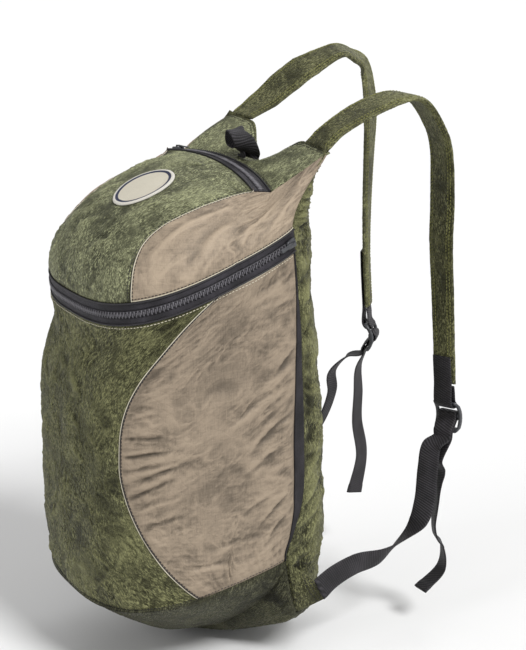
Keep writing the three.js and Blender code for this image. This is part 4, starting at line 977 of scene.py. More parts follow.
class Paint:
    """A material in the making."""

    def __init__(self, name):
        self.material = bpy.data.materials.new(name)
        self.material.use_nodes = True
        self.tree = self.material.node_tree
        self.tree.nodes.clear()
        self.place = Socket(self, self.node("ShaderNodeTexCoord").outputs["Object"])
        cloth = self.node("ShaderNodeUVMap", {"uv_map": "cloth"}).outputs["UV"]
        apart = self.node("ShaderNodeSeparateXYZ", {}, {"Vector": Socket(self, cloth)})
        self.u, self.v = (Socket(self, apart.outputs[k]) for k in "XY")
        # Fine relief of the cloth, which the cloths' colours turn into painted shade in hollows and painted
        # highlight on ridges
        relief = self.node("ShaderNodeAttribute", {"attribute_name": "relief"})
        self.relief = Socket(self, relief.outputs["Fac"])

    def node(self, kind, settings=None, values=None):
        """A node of a type: its settings first, then the values or links of its sockets."""
        node = self.tree.nodes.new(kind)
        for name, value in (settings or {}).items():
            setattr(node, name, value)
        for name, value in (values or {}).items():
            if isinstance(value, Socket):
                self.tree.links.new(value.output, node.inputs[name])
            else:
                node.inputs[name].default_value = value
        return node

    def math(self, operation, *values):
        node = self.node("ShaderNodeMath", {"operation": operation}, dict(enumerate(values)))
        return Socket(self, node.outputs[0])

    def noise(self, scale, detail=2.0, roughness=0.5, bend=0.0, place=None):
        values = {"Scale": scale, "Detail": detail, "Roughness": roughness, "Distortion": bend}
        values["Vector"] = place or self.place
        return Socket(self, self.node("ShaderNodeTexNoise", {}, values).outputs[0])

    def warped(self, scale, amount):
        """Object coordinates pushed about by coloured noise."""
        values = {"Scale": scale, "Detail": 2.0, "Vector": self.place}
        colour = Socket(self, self.node("ShaderNodeTexNoise", {}, values).outputs[1])
        values = {0: colour, 1: (amount,) * 3, 2: self.place}
        push = self.node("ShaderNodeVectorMath", {"operation": "MULTIPLY_ADD"}, values)
        return Socket(self, push.outputs[0])

    def drawn_out(self, scales):
        """Noise on the object's coordinates, with a scale for each axis."""
        node = self.node("ShaderNodeMapping", {}, {"Vector": self.place, "Scale": scales})
        return self.noise(1.0, 2.0, 0.6, place=Socket(self, node.outputs[0]))

    def streaks(self, turn, across, along):
        """Noise drawn out along one direction of the cloth."""
        laid = self.node("ShaderNodeUVMap", {"uv_map": "cloth"}).outputs["UV"]
        values = {"Vector": Socket(self, laid), "Rotation": (0.0, 0.0, turn), "Scale": (across, along, 1.0)}
        turned = self.node("ShaderNodeMapping", {}, values)
        return self.noise(1.0, 3.0, 0.6, 0.6, place=Socket(self, turned.outputs[0]))

    def cracks(self, place, scale):
        """Distance to the nearest edge between warped cells."""
        values = {"Vector": place, "Scale": scale}
        node = self.node("ShaderNodeTexVoronoi", {"feature": "DISTANCE_TO_EDGE"}, values)
        return Socket(self, node.outputs["Distance"])

    def tint(self, mask, low, high):
        values = {0: mask}
        for index, colour in ((6, low), (7, high)):
            values[index] = colour if isinstance(colour, Socket) else (*colour, 1.0)
        return Socket(self, self.node("ShaderNodeMix", {"data_type": "RGBA"}, values).outputs[2])

    def finish(self, colour, roughness, heights, **constants):
        """Shader with bumps laid one on another: pairs of height and depth in millimetres."""
        normal = None
        for height, depth in heights:
            values = {"Height": height, "Distance": depth * MM, "Strength": 1.0}
            if normal:
                values["Normal"] = normal
            normal = Socket(self, self.node("ShaderNodeBump", {}, values).outputs[0])
        values = {"Roughness": roughness, **constants}
        values["Base Color"] = colour if isinstance(colour, Socket) else (*colour, 1.0)
        if normal:
            values["Normal"] = normal
        shader = self.node("ShaderNodeBsdfPrincipled", {}, values)
        output = self.node("ShaderNodeOutputMaterial")
        self.tree.links.new(shader.outputs[0], output.inputs[0])
        return self.material


def shades(colour, low, high):
    """A colour darkened and lightened by two factors."""
    return tuple(c * low for c in colour), tuple(min(c * high, 1) for c in colour)


def crinkled_nylon(name, colour, crush=1.0):
    """Silky parachute nylon: crossing streaks of fine creases with painted highlights on them, and painted
    shade in the hollows of the relief, over soft clouds.
    """
    paint = Paint(name)
    net = paint.cracks(paint.warped(85.0, 0.006), 190.0).ramp(0.0, 0.16)
    laid = ((0.75, 780.0, 300.0), (-0.6, 700.0, 270.0), (0.15, 900.0, 380.0))
    streaks = [paint.streaks(turn, wide, long) for turn, wide, long in laid]
    clouds = paint.noise(17.0, 3.0, 0.6, 0.5)
    patches = paint.noise(38.0, 3.0, 0.6, 0.8)
    speckle = paint.noise(1100.0, 2.0, 0.7)
    crease_highlights = streaks[0].ramp(0.5, 0.68) + 0.8 * streaks[1].ramp(0.5, 0.7)
    crease_highlights = crease_highlights + 0.6 * streaks[2].ramp(0.52, 0.7)
    dark, light = shades(colour, 0.2, 2.4)
    # The lightest colour is raised further: it is the colour of the painted highlights on the creases
    light = tuple(c + 0.055 for c in light)
    painted_crease_highlight = crease_highlights * patches.ramp(0.3, 0.62)
    # Brightness: random clouds and speckle, painted shade and highlight from the relief (darker in hollows,
    # lighter on ridges), and the painted crease highlights
    bright = 0.05 + 0.95 * (clouds - 0.45) + 0.3 * paint.relief + 1.1 * (speckle - 0.5) + 0.95 * painted_crease_highlight
    body = paint.tint(bright.ramp(-0.25, 1.1), dark, light)
    rough = 0.5 + 0.2 * clouds - 0.08 * crease_highlights
    heights = [(net, 0.4 * crush), (streaks[0], 0.9 * crush), (streaks[1], 0.8 * crush), (speckle, 0.12)]
    return paint.finish(body, rough, heights, **{"Specular IOR Level": 0.22})


# Distance between two threads of the ripstop's grid, and the edges of the patch's ring, in metres
RIPSTOP_PITCH = 0.0052
PATCH_RING = (0.0232, 0.0258)


def ripstop(name, colour):
    """Smooth ripstop nylon: faint threads in a small grid, thin slubs and soft clouds, with painted shade in
    the hollows of its relief and painted light on its ridges.
    """
    paint = Paint(name)
    threads = [abs((way / RIPSTOP_PITCH).fraction() - 0.5).ramp(0.07, 0.0) for way in (paint.u, paint.v)]
    grid = paint.math("MAXIMUM", *threads)
    slub = paint.drawn_out((900.0, 900.0, 70.0))
    bar = paint.drawn_out((60.0, 60.0, 800.0))
    clouds = paint.noise(14.0, 3.0, 0.55, 0.4)
    stains = paint.noise(32.0, 3.0, 0.6, 0.8)
    net = paint.cracks(paint.warped(70.0, 0.008), 120.0).ramp(0.0, 0.12)
    dark, light = shades(colour, 0.4, 1.4)
    soft = 0.8 * (clouds - 0.5) + 0.5 * (stains - 0.5)
    # The relief term paints shade into the hollows and light onto the ridges of the cloth
    bright = 0.55 + soft + 0.5 * paint.relief + 0.4 * (slub - 0.5) + 0.3 * (bar - 0.5) + 0.08 * grid
    body = paint.tint(bright.ramp(-0.05, 1.05), dark, light)
    heights = [(net, 0.14), (grid, 0.09), (slub, 0.05)]
    return paint.finish(body, 0.55 + 0.15 * clouds, heights, **{"Specular IOR Level": 0.3})


def woven(name, colour, pitch, ribs, rough=0.62):
    """Woven tape or webbing: slanted ribs, with threads along it that pass over and under."""
    paint = Paint(name)
    across = ((paint.v / pitch + 0.35 * paint.u / pitch) * (2 * math.pi)).sine()
    along = ((paint.u / (pitch * ribs)) * (2 * math.pi)).sine()
    weave = 0.5 + 0.34 * across + 0.16 * across * along
    fuzz = paint.noise(2600.0, 2.0, 0.7)
    wear = paint.noise(45.0, 3.0, 0.6)
    # The ribs' crests reach 3.4 times the colour: partly the weave's own light and dark threads, partly a
    # painted highlight on the crests
    dark, light = shades(colour, 0.35, 3.4)
    bright = weave * 0.55 + 0.25 * fuzz + 0.8 * (wear - 0.5)
    body = paint.tint(bright.ramp(0.15, 1.0), dark, light)
    heights = [(weave, 0.4), (fuzz, 0.06)]
    return paint.finish(body, rough + 0.15 * (fuzz - 0.5), heights, **{"Specular IOR Level": 0.35})


def moulded(name, colour, rough):
    """Moulded plastic: an even skin with a faint spark-eroded grain and small scuffs."""
    paint = Paint(name)
    grain = paint.noise(2400.0, 2.0, 0.6)
    scuffs = paint.noise(130.0, 4.0, 0.7, 1.2)
    dark, light = shades(colour, 0.85, 1.5)
    body = paint.tint(scuffs.ramp(0.35, 0.75), dark, light)
    return paint.finish(body, rough + 0.2 * (scuffs - 0.5), [(grain, 0.03), (scuffs, 0.05)])


def thread(name, colour):
    """Twisted sewing thread."""
    paint = Paint(name)
    twist = paint.noise(3000.0, 2.0, 0.6)
    dark, light = shades(colour, 0.75, 1.3)
    return paint.finish(paint.tint(twist, dark, light), 0.6 + 0.1 * twist, [(twist, 0.04)])


def patch_weave(name, rim, ring, ground):
    """Embroidered patch: rings of colour by the distance from its middle, in close satin rows."""
    paint = Paint(name)
    far = (paint.u * paint.u + paint.v * paint.v) ** 0.5
    rows = ((paint.v / 0.0007) * (2 * math.pi)).sine()
    fuzz = paint.noise(2200.0, 2.0, 0.7)
    inside, outside = (far.ramp(edge - 0.0002, edge + 0.0002) for edge in PATCH_RING)
    body = paint.tint(outside, paint.tint(inside, ground, ring), rim)
    speck = paint.tint(fuzz.ramp(0.2, 0.9), (0.8, 0.8, 0.8), (1.0, 1.0, 1.0))
    settings = {"data_type": "RGBA", "blend_type": "MULTIPLY"}
    body = Socket(paint, paint.node("ShaderNodeMix", settings, {0: 1.0, 6: body, 7: speck}).outputs[2])
    return paint.finish(body, 0.7 + 0.1 * (fuzz - 0.5), [(rows, 0.12), (fuzz, 0.06)])


def matt(name, colour, rough):
    """Plain matt surface, hardly clouded."""
    paint = Paint(name)
    clouds = paint.noise(1.5, 2.0)
    dark, light = shades(colour, 0.99, 1.01)
    return paint.finish(paint.tint(clouds, dark, light), rough, [])


# Sizes and colours that a maker would change

def length(label, text, size):
    return bpy.props.FloatProperty(
        name=label, description=text, default=size * MM, unit="LENGTH", precision=5,
    )


def shade(label, text, code):
    return bpy.props.FloatVectorProperty(
        name=label, description=text, default=linear(code), subtype="COLOR", size=3, min=0, max=1,
    )


class DayPackSizes(bpy.types.PropertyGroup):
    spacing: length("Grid Spacing", "Distance between the lines of the cloth's grid", 1.4)
    stitch: length("Stitch", "Length of one stitch", 2.2)
    stitch_gap: length("Stitch Gap", "Gap between two stitches", 0.9)
    stitch_radius: length("Stitch Radius", "Radius of the sewing thread", 0.32)
    tooth_pitch: length("Tooth Pitch", "Distance between two turns of the zip's coil", 3.4)
    tooth_radius: length("Tooth Radius", "Radius of a turn of the zip's coil", 0.66)
    patch: length("Patch", "Diameter of the round patch", 57.0)


class DayPackColours(bpy.types.PropertyGroup):
    olive: shade("Olive", "Nylon of the front, back, base and straps", "4b4b27")
    lid: shade("Lid", "Nylon of the lid and the yoke", "656749")
    taupe: shade("Taupe", "Ripstop nylon of the sides", "8a7c6b")
    zip_tape: shade("Zip Tape", "Woven tape of both zips", "28262b")
    coil: shade("Coil", "Turns of the zips' coils", "58565b")
    black: shade("Black", "Webbing, bindings and dark thread", "232124")
    plastic: shade("Plastic", "Buckles", "3d3e41")
    cream: shade("Cream", "Light thread", "c9c2ae")
    patch_rim: shade("Patch Rim", "Edge of the patch", "e6e2d8")
    patch_ring: shade("Patch Ring", "Ring of the patch", "262d4a")
    patch_ground: shade("Patch Ground", "Middle of the patch", "ddd6c4")


def chosen(context):
    """Sizes in millimetres and colours, as they are set in the scene."""
    sizes, colours = context.scene.day_pack_sizes, context.scene.day_pack_colours
    named = {key: getattr(sizes, key) / MM for key in DayPackSizes.__annotations__}
    return named, {key: tuple(getattr(colours, key)) for key in DayPackColours.__annotations__}


FINISHES = {}
SEWN = {}


def finish_of(name, make, *settings):
    """A material, made once."""
    if name not in FINISHES:
        FINISHES[name] = make(name, *settings)
    return FINISHES[name]


def sewn(name):
    if name not in SEWN:
        raise RuntimeError(f"{name} has to be sewn first")
    return SEWN[name]


def relief_of(dents, creases, small, fine, left, right, foot, top, **more):
    """Heights of dents, creases and crinkles, then for each edge the dip at its seam, the dip's
    width, and the puckers' height, pitch and reach."""
    edges = {"left": left, "right": right, "foot": foot, "top": top}
    return {"wide": dents, "creases": creases, "small": small, "fine": fine, "edges": edges, **more}


LOOKS = {
    "front": relief_of(
        2.6, 1.1, 0.6, 0.2,
        (1.1, 2.4, 0.5, 7, 9), (1.1, 2.4, 0.5, 7, 9), (1.3, 3, 0.9, 8, 12), (0.6, 2, 0.5, 6, 9),
    ),
    "lid": relief_of(
        1.7, 0.9, 0.55, 0.2,
        (1.0, 2.4, 0.5, 6, 8), (1.0, 2.4, 0.5, 6, 8), (0.7, 2, 0.5, 6, 9), (0.6, 2, 0.5, 6, 8),
    ),
    "side": relief_of(
        2.3, 0.75, 0.34, 0.1,
        (1.0, 2.2, 1.0, 6, 16), (0.9, 2.4, 1.3, 7, 15), (1.2, 3, 0.8, 8, 12), (0.6, 2, 0.35, 7, 9),
        stretch=0.6,
    ),
    "side_top": relief_of(
        1.7, 0.75, 0.34, 0.1,
        (1.0, 2.2, 0.5, 6, 8), (1.0, 2.6, 0.8, 8, 12), (0.6, 2, 0.35, 6, 9), (0.8, 2.4, 0.5, 7, 9),
        stretch=1.8,
    ),
    "back": relief_of(
        2.4, 1.3, 0.7, 0.2,
        (1.6, 3, 3.0, 12, 12), (1.6, 3, 3.0, 12, 12), (1.2, 3, 0.8, 8, 12), (0.8, 2.4, 0.6, 7, 9),
    ),
    "yoke": relief_of(
        0.8, 0.5, 0.28, 0.12,
        (0.7, 2, 0.3, 6, 6), (0.7, 2, 0.3, 6, 6), (0.6, 2, 0.4, 6, 7), (0.7, 2, 0.4, 6, 7),
    ),
    "wing": relief_of(
        0.9, 0.6, 0.35, 0.12,
        (0.5, 2, 0.5, 5, 5), (0.2, 2, 0.2, 5, 5), (0.2, 1.5, 0.2, 5, 4), (0.2, 1.5, 0.2, 5, 4),
        proud=CLOTH,
    ),
    "tape": relief_of(0.25, 0.06, 0.0, 0.03, *[(0.1, 2, 0.12, 6, 3)] * 4),
}
NO_FOLDS = ()
# Folds of each panel, as shares of its width and height for both ends, then the sag, the
# half width and the height in millimetres
FOLDS = {
    "front_panel": [
        (0.42, 0.83, 0.55, 0.8, -3, 4, 1.2), (0.55, 0.8, 0.68, 0.72, 2, 4.5, 1.5),
        (0.6, 0.66, 0.74, 0.61, 2, 3, 1.1), (0.66, 0.55, 0.76, 0.5, 1, 2.4, 1.0),
        (0.12, 0.4, 0.3, 0.62, 3, 4, 1.3), (0.3, 0.2, 0.48, 0.3, -2, 4, 1.2),
        (0.56, 0.24, 0.72, 0.34, 2, 3.4, 1.1), (0.2, 0.78, 0.36, 0.7, -2, 3.4, 1.2),
        (0.5, 0.1, 0.7, 0.13, 2, 3, 1.0),
    ],
    "side_lower": [
        (0.0, 0.62, 0.22, 0.6, 1, 2.2, -1.6), (0.01, 0.55, 0.26, 0.545, 2, 2.0, -1.8),
        (0.0, 0.5, 0.36, 0.5, 3, 2.6, -1.6), (0.0, 0.45, 0.42, 0.49, 3, 2.8, -1.9),
        (0.0, 0.4, 0.3, 0.45, 2, 2.4, -1.9), (0.02, 0.35, 0.3, 0.375, 2, 2.2, 1.2),
        (0.03, 0.3, 0.32, 0.315, 1, 2.4, -1.2), (0.05, 0.68, 0.2, 0.68, 1, 2.0, -1.2),
        (0.55, 0.53, 0.98, 0.6, 4, 3.2, 1.2), (0.7, 0.42, 0.98, 0.5, 4, 2.8, -1.3),
        (0.66, 0.36, 0.98, 0.41, 3, 2.6, -1.1), (0.62, 0.24, 0.9, 0.26, 3, 2.0, -1.3),
        (0.7, 0.16, 0.98, 0.25, 2, 2.2, -1.3), (0.76, 0.1, 0.98, 0.18, 2, 2.2, -1.2),
        (0.84, 0.64, 0.99, 0.71, 1, 2.2, -1.2), (0.4, 0.7, 0.62, 0.66, 5, 6, -0.7),
        (0.56, 0.43, 0.7, 0.33, 4, 5, -0.6), (0.05, 0.1, 0.5, 0.06, 4, 3.2, 1.4),
        (0.3, 0.14, 0.75, 0.12, 3, 3, 1.0), (0.5, 0.92, 0.98, 0.9, 5, 4, 0.8),
    ],
    "side_upper": [
        (0.15, 0.3, 0.24, 0.75, 3, 4, 1.0), (0.4, 0.15, 0.46, 0.6, 3, 4.5, 0.9),
        (0.62, 0.25, 0.7, 0.72, 2, 4, 0.9), (0.82, 0.2, 0.9, 0.62, 2, 3.2, 0.9),
    ],
    "lid": [
        (0.3, 0.3, 0.44, 0.42, 2, 4, 1.0), (0.6, 0.25, 0.76, 0.34, 2, 4, 1.0),
        (0.78, 0.45, 0.92, 0.4, 1, 3.4, 1.0), (0.16, 0.5, 0.28, 0.62, 2, 3.6, 0.9),
    ],
    "back_panel": [
        (0.05, 0.3, 0.3, 0.36, 4, 5, 1.6), (0.7, 0.5, 0.95, 0.44, 4, 5, 1.6),
        (0.3, 0.6, 0.5, 0.52, 5, 6, 1.5), (0.1, 0.72, 0.34, 0.66, 4, 5, 1.4),
        (0.62, 0.24, 0.9, 0.2, 4, 5, 1.5),
    ],
}


def sew(name, surface, look, spacing, seed, folds=NO_FOLDS):
    """Works out a panel and keeps it for its stitches."""
    rough = surface(*np.meshgrid(np.linspace(0, 1, 25), np.linspace(0, 1, 25), indexing="ij"))
    across, upwards = edge_lengths(rough)
    cells = (max(4, across[-1].max() / spacing), max(4, upwards[:, -1].max() / spacing))
    SEWN[name] = Cloth(name, surface, cells, seed, look, folds)
    return SEWN[name]


def sew_piece(name, surface, look, spacing, seed, material, folds=NO_FOLDS):
    """Sews a panel and puts it in the scene in place of the node of its name."""
    cloth = sew(name, surface, look, spacing, seed, folds)
    add_piece(f"{name}_cloth", cloth.mesh, material, [name])


# Factors on the chosen colours for single pieces. The lower and upper side factors are painted shade
# and painted light: a darker and a lighter copy of the one taupe cloth, for how the light falls on each.
# The base factor is painted shade: the olive darkened for the shadow under the bag. The strap thread's
# factor makes the straps' thread lighter than their cloth
SHADES = {"lower_side": 0.86, "upper_side": 1.1, "base": 0.5, "strap_thread": 3.0}


def shaded(colour, piece):
    return tuple(SHADES[piece] * c for c in colour)


class PackOperator:
    """Options that all steps share"""
    bl_options = {"REGISTER", "UNDO"}


class SewPanels(PackOperator, bpy.types.Operator):
    """Front, lid, back, yoke and side panels: thin shells between curved seams"""
    bl_idname = "day_pack.sew_panels"
    bl_label = "Sew Panels"

    def execute(self, context):
        sizes, colours = chosen(context)
        spacing = sizes["spacing"]
        olive = finish_of("olive_nylon", crinkled_nylon, colours["olive"])
        light = finish_of("lid_nylon", crinkled_nylon, colours["lid"], 0.8)
        # The two side finishes are painted shade and painted light: the same taupe darkened for the lower
        # side panels and lightened for the upper ones
        lower_side = finish_of("lower_side_nylon", ripstop, shaded(colours["taupe"], "lower_side"))
        upper_side = finish_of("upper_side_nylon", ripstop, shaded(colours["taupe"], "upper_side"))

        def front(s, t):
            return lower_shell(mix(-crescent(t), crescent(t), s), t)

        def lid(s, t):
            return upper_shell(mix(-lid_seam(t), lid_seam(t), s), t)

        def back(s, t):
            return back_panel(mix(-1, 1, s), t)

        def shoulders(s, t):
            return yoke(mix(-1, 1, s), t)

        flat = dict(LOOKS["lid"], calm=(0.5, PATCH_PLACE, sizes["patch"] / 2 + 3))
        for name, surface, look, material, slot, seed in (
            ("front_panel", front, LOOKS["front"], olive, "olive_nylon", 11),
            ("lid", lid, flat, light, "lid_nylon", 23),
            ("back_panel", back, LOOKS["back"], olive, "olive_nylon", 37),
            ("yoke", shoulders, LOOKS["yoke"], light, "lid_nylon", 41),
        ):
            folds = FOLDS.get(name, NO_FOLDS)
            sew_piece(name, surface, look, spacing, seed, material, folds)
        for side, hand in HANDS:
            def lower(s, t):
                return lower_shell(side * mix(crescent(t), tape_share(t), s), t)

            def upper(s, t):
                return upper_shell(side * mix(lid_seam(t), 1, s), t)

            for part, surface, look, taupe, seed in (
                ("side_lower", lower, LOOKS["side"], lower_side, 53),
                ("side_upper", upper, LOOKS["side_top"], upper_side, 67),
            ):
                name, folds = f"{part}_{hand}", FOLDS[part]
                sew_piece(name, surface, look, spacing, seed + side, taupe, folds)
        return {"FINISHED"}


# Base's grid: steps of the loop, rings to the middle and the power that spreads the rings
BASE_STEPS, BASE_RINGS, BASE_SPREAD = 360, 84, 0.9


class SewBase(PackOperator, bpy.types.Operator):
    """Base: a bowl whose loop of seams shrinks by a power of the cosine as it sinks by the sine"""
    bl_idname = "day_pack.sew_base"
    bl_label = "Sew Base"

    def execute(self, context):
        _, colours = chosen(context)
        loop = seam_loop(BASE_STEPS)
        share = np.linspace(0, 1, BASE_RINGS + 1)[:-1] ** BASE_SPREAD
        bowl = base_bowl(loop, share[None, :])
        closed = np.concatenate([bowl[-1:], bowl, bowl[:1]])
        normal = unit(np.cross(np.gradient(closed, axis=0), np.gradient(closed, axis=1)))[1:-1]
        normal *= 1 if np.sum(normal * (bowl - HEART)) > 0 else -1
        run = np.cumsum(np.linalg.norm(np.diff(loop, axis=0, prepend=loop[:1]), axis=1))[:, None]
        deep = np.cumsum(np.linalg.norm(np.diff(bowl, axis=1, prepend=bowl[:, :1]), axis=-1), 1)
        around = run[-1, 0]
        wide, creases, small, fine = crumple(bowl[..., 0], bowl[..., 1] + 0.6 * bowl[..., 2], 71)
        turn = run * 2 * np.pi / around
        ring = np.stack([np.cos(turn), np.sin(turn)], -1) * around / (2 * np.pi)
        gather = noise(ring[..., 0] / 8 + deep * 0.012, ring[..., 1] / 8 + deep * 0.012, 72)
        pleat = ridges(ring[..., 0] / 10 + deep * 0.02, ring[..., 1] / 10, 73, 2.2)
        tiny = 0.55 * creases + 0.32 * small + 0.14 * fine
        calm = smooth((BASE_RINGS - np.arange(BASE_RINGS)) / 12)
        fade = smooth(deep / 5) * calm
        swell = (1.1 * gather + 0.9 * pleat) * (deep / 14) * np.exp(1 - deep / 14)
        high = fade * (1.1 * wide + tiny) + swell * calm - 1.2 * np.exp(-deep / 3)
        outer = bowl + normal * high[..., None]
        drop = (share == 0)[None, :, None] * np.array([0, 0, 1])
        inner = bowl + normal * (np.minimum(high, 0) - CLOTH)[..., None] - drop
        stack = np.concatenate([inner[:, ::-1], outer], axis=1).transpose(1, 0, 2)
        uv = np.stack([np.broadcast_to(run, deep.shape), deep], -1) * MM
        flat = np.concatenate([uv[:, ::-1], uv], axis=1).transpose(1, 0, 2)
        relief = np.concatenate([0 * tiny, fade * tiny], axis=1).T
        mesh = tube_mesh("base_panel", stack, flat, relief)
        # The base's olive is darkened by half as painted shade, for the shadow under the bag
        olive = finish_of("base_nylon", crinkled_nylon, shaded(colours["olive"], "base"))
        add_piece("base_panel_cloth", mesh, olive, ["base_panel"])
        return {"FINISHED"}


# Zips: their band, its width and how much of its length the pieces take up
ZIPS = {
    "pocket_zip": (pocket_zip, ZIP_BAND, 1.0),
    "main_zip": (main_zip, MAIN_ZIP_BAND, 0.985),
}
COIL_PROUD = 1.0
# A turn of the coil: its length, its shift to one side, its height and its slant
TOOTH_LENGTH, TOOTH_ASIDE, TOOTH_ABOVE, TOOTH_SLANT = 4.2, 0.75, 0.5, 0.16


class SewZips(PackOperator, bpy.types.Operator):
    """Zips: two tapes, a raised strip and the coil's crossing turns"""
    bl_idname = "day_pack.sew_zips"
    bl_label = "Sew Zips"

    def execute(self, context):
        sizes, colours = chosen(context)
        tape = finish_of("zip_tape", woven, colours["zip_tape"], 0.0009, 1.4)
        coil = finish_of("zip_coil", moulded, colours["coil"], 0.42)
        cord = finish_of("zip_cord", moulded, colours["zip_tape"], 0.6)
        spacing = sizes["spacing"]
        for name, (surface, band, reach) in ZIPS.items():
            half = COIL_WIDTH / 2 / band

            def strip(start, stop):
                return lambda s, t: surface(mix(-reach, reach, s), mix(start, stop, t))

            tapes = (("tape_lower", 0, 0.5 - half, 81), ("tape_upper", 0.5 + half, 1, 83))
            for part, start, stop, seed in tapes:
                band_of = strip(start, stop)
                sew_piece(f"{name}_{part}", band_of, LOOKS["tape"], spacing, seed, tape)
            raised = dict(LOOKS["tape"], proud=0.2, wide=0.0, creases=0.0)
            middle = sew(f"{name}_coil", strip(0.5 - half, 0.5 + half), raised, spacing, 85)
            add_piece(f"{name}_coil_strip", middle.mesh, cord, [f"{name}_coil"])
            centre, up = middle.line("foot", COIL_WIDTH / 2 - SEAM_GAP)
            add_piece(f"{name}_teeth", self.teeth(name, centre, up, sizes), coil)
        return {"FINISHED"}

    def teeth(self, name, centre, up, sizes):
        """Turns of the coil laid across the middle, from alternate sides."""
        run = run_lengths(centre)
        seats = np.arange(1.0, run[-1] - 1.0, sizes["tooth_pitch"] / 2)
        place, above = read_along(seats, run, centre), unit(read_along(seats, run, up))
        along = unit(np.gradient(place, axis=0))
        across = unit(np.cross(above, along))
        turn = np.where(np.arange(len(seats)) % 2, 1.0, -1.0)[:, None]
        place = place + across * turn * TOOTH_ASIDE + above * TOOTH_ABOVE
        way = unit(across + TOOTH_SLANT * along)
        return spindles(f"{name}_teeth", place, way, above, TOOTH_LENGTH, sizes["tooth_radius"])


# Slider's parts: places along and above its seat, then half widths and half heights
SLIDER_PARTS = {
    "body": (
        [(-5, 0.2), (-4.4, 0.2), (4.2, 0.2), (5.4, 0.2)],
        [3.2, 4.1, 3.5, 2.2],
        [1.0, 1.5, 1.5, 0.9],
    ),
    "bridge": (
        [(-3.4, 1.4), (-2.6, 2.9), (1.2, 2.9), (2.2, 1.4)],
        [1.0, 1.1, 1.1, 1.0],
        [0.5, 0.5, 0.5, 0.5],
    ),
    "pull": (
        [(0.6, 2.4), (2.2, 2.5), (8, 1.9), (13.4, 1.5), (14, 1.5)],
        [1.5, 2.0, 1.7, 1.9, 1.4],
        [0.5, 0.7, 0.6, 0.7, 0.4],
    ),
}


class FitSliders(PackOperator, bpy.types.Operator):
    """Zip sliders: a waisted body, a bridge and a tapered pull, each a section carried along a line"""
    bl_idname = "day_pack.fit_sliders"
    bl_label = "Fit Sliders"

    def execute(self, context):
        _, colours = chosen(context)
        metal = finish_of("zip_slider", moulded, colours["plastic"], 0.34)
        for name, surface, at, way in (
            ("pocket_zip_slider", pocket_zip, 0.97, -1), ("main_zip_slider", main_zip, -0.93, 1),
        ):
            seat = surface(at, 0.5)
            along = unit(surface(at + 0.01 * way, 0.5) - seat)
            over = surface(at, 0.6) - seat
            face = unit(np.cross(along, over))
            face = face if np.dot(face, seat - HEART) > 0 else -face
            across = np.cross(face, along)
            seat = seat + face * (COIL_PROUD + SEAM_GAP)
            for part, keys in SLIDER_PARTS.items():
                along_of, across_of, above_of = (self.bar(*keys)[..., k, None] for k in range(3))
                rings = seat + along_of * along + across_of * across + above_of * face
                mesh = tube_mesh(f"{name}_{part}", rings, np.zeros(rings.shape[:2] + (2,)))
                add_piece(f"{name}_{part}", mesh, metal, [name] if part == "body" else ())
        return {"FINISHED"}

    def bar(self, line, widths, heights):
        """Rounded section along a line in the plane of the slider: [along, across, above]."""
        line = np.array(line, float)
        at = np.linspace(0, 1, 25)
        keys = np.linspace(0, 1, len(line))
        x, z = (np.interp(at, keys, line[:, k]) for k in (0, 1))
        wide, high = (np.interp(at, keys, v) for v in (widths, heights))
        turn = np.linspace(0, 2 * np.pi, 20, endpoint=False)
        c, s = (np.sign(f(turn)) * np.abs(f(turn)) ** 0.6 for f in (np.cos, np.sin))
        return xyz(x[:, None] + 0 * c, wide[:, None] * c, z[:, None] + high[:, None] * s)


class SewBindings(PackOperator, bpy.types.Operator):
    """Side tapes and wings: short strips beside the back seams and folded corners at their feet"""
    bl_idname = "day_pack.sew_bindings"
    bl_label = "Sew Bindings"

    def execute(self, context):
        sizes, colours = chosen(context)
        spacing = sizes["spacing"]
        black = finish_of("black_tape", woven, colours["black"], 0.0009, 1.4, 0.75)
        olive = finish_of("olive_nylon", crinkled_nylon, colours["olive"])
        for side, hand in HANDS:
            def strip(s, t):
                return lower_shell(side * mix(tape_share(t), 1, s), t)

            def corner(s, t):
                return wing(side, s, t)

            sew_piece(f"side_tape_{hand}", strip, LOOKS["tape"], spacing, 91, black)
            sew_piece(f"wing_{hand}", corner, LOOKS["wing"], spacing, 95, olive)
        return {"FINISHED"}


def seated(radius, turn):
    """Shares of the upper shell at a radius and turn round the patch's middle, by Newton's steps."""
    centre = upper_shell(0.0, PATCH_PLACE)
    ahead = unit(upper_shell(0.0, PATCH_PLACE + 0.01) - centre)
    aside = np.array([1.0, 0.0, 0.0])
    goal = centre + (radius * np.cos(turn))[..., None] * aside + (radius * np.sin(turn))[..., None] * ahead
    u, v = np.zeros(goal.shape[:-1]), np.full(goal.shape[:-1], PATCH_PLACE)
    for _ in range(8):
        here = upper_shell(u, v)
        du, dv = (upper_shell(u + 0.01, v) - here) * 100, (upper_shell(u, v + 0.01) - here) * 100
        miss = goal - here
        a, b, c, d = du @ aside, dv @ aside, du @ ahead, dv @ ahead
        p, q, det = miss @ aside, miss @ ahead, a * d - b * c
        u, v = u + (p * d - b * q) / det, v + (a * q - c * p) / det
    return u, v


# Patch's section: shares of its radius and heights above the lid
PATCH_SECTION = table(
    "share lift",
    (0.03, 0.2), (0.5, 0.2), (0.97, 0.2), (1.0, 0.5), (1.005, 1.2), (0.985, 1.9), (0.95, 2.2),
    (0.91, 2.1), (0.88, 1.7), (0.86, 1.5), (0.7, 1.5), (0.5, 1.5), (0.3, 1.5), (0.03, 1.5),
)
PATCH_SIDES = 96


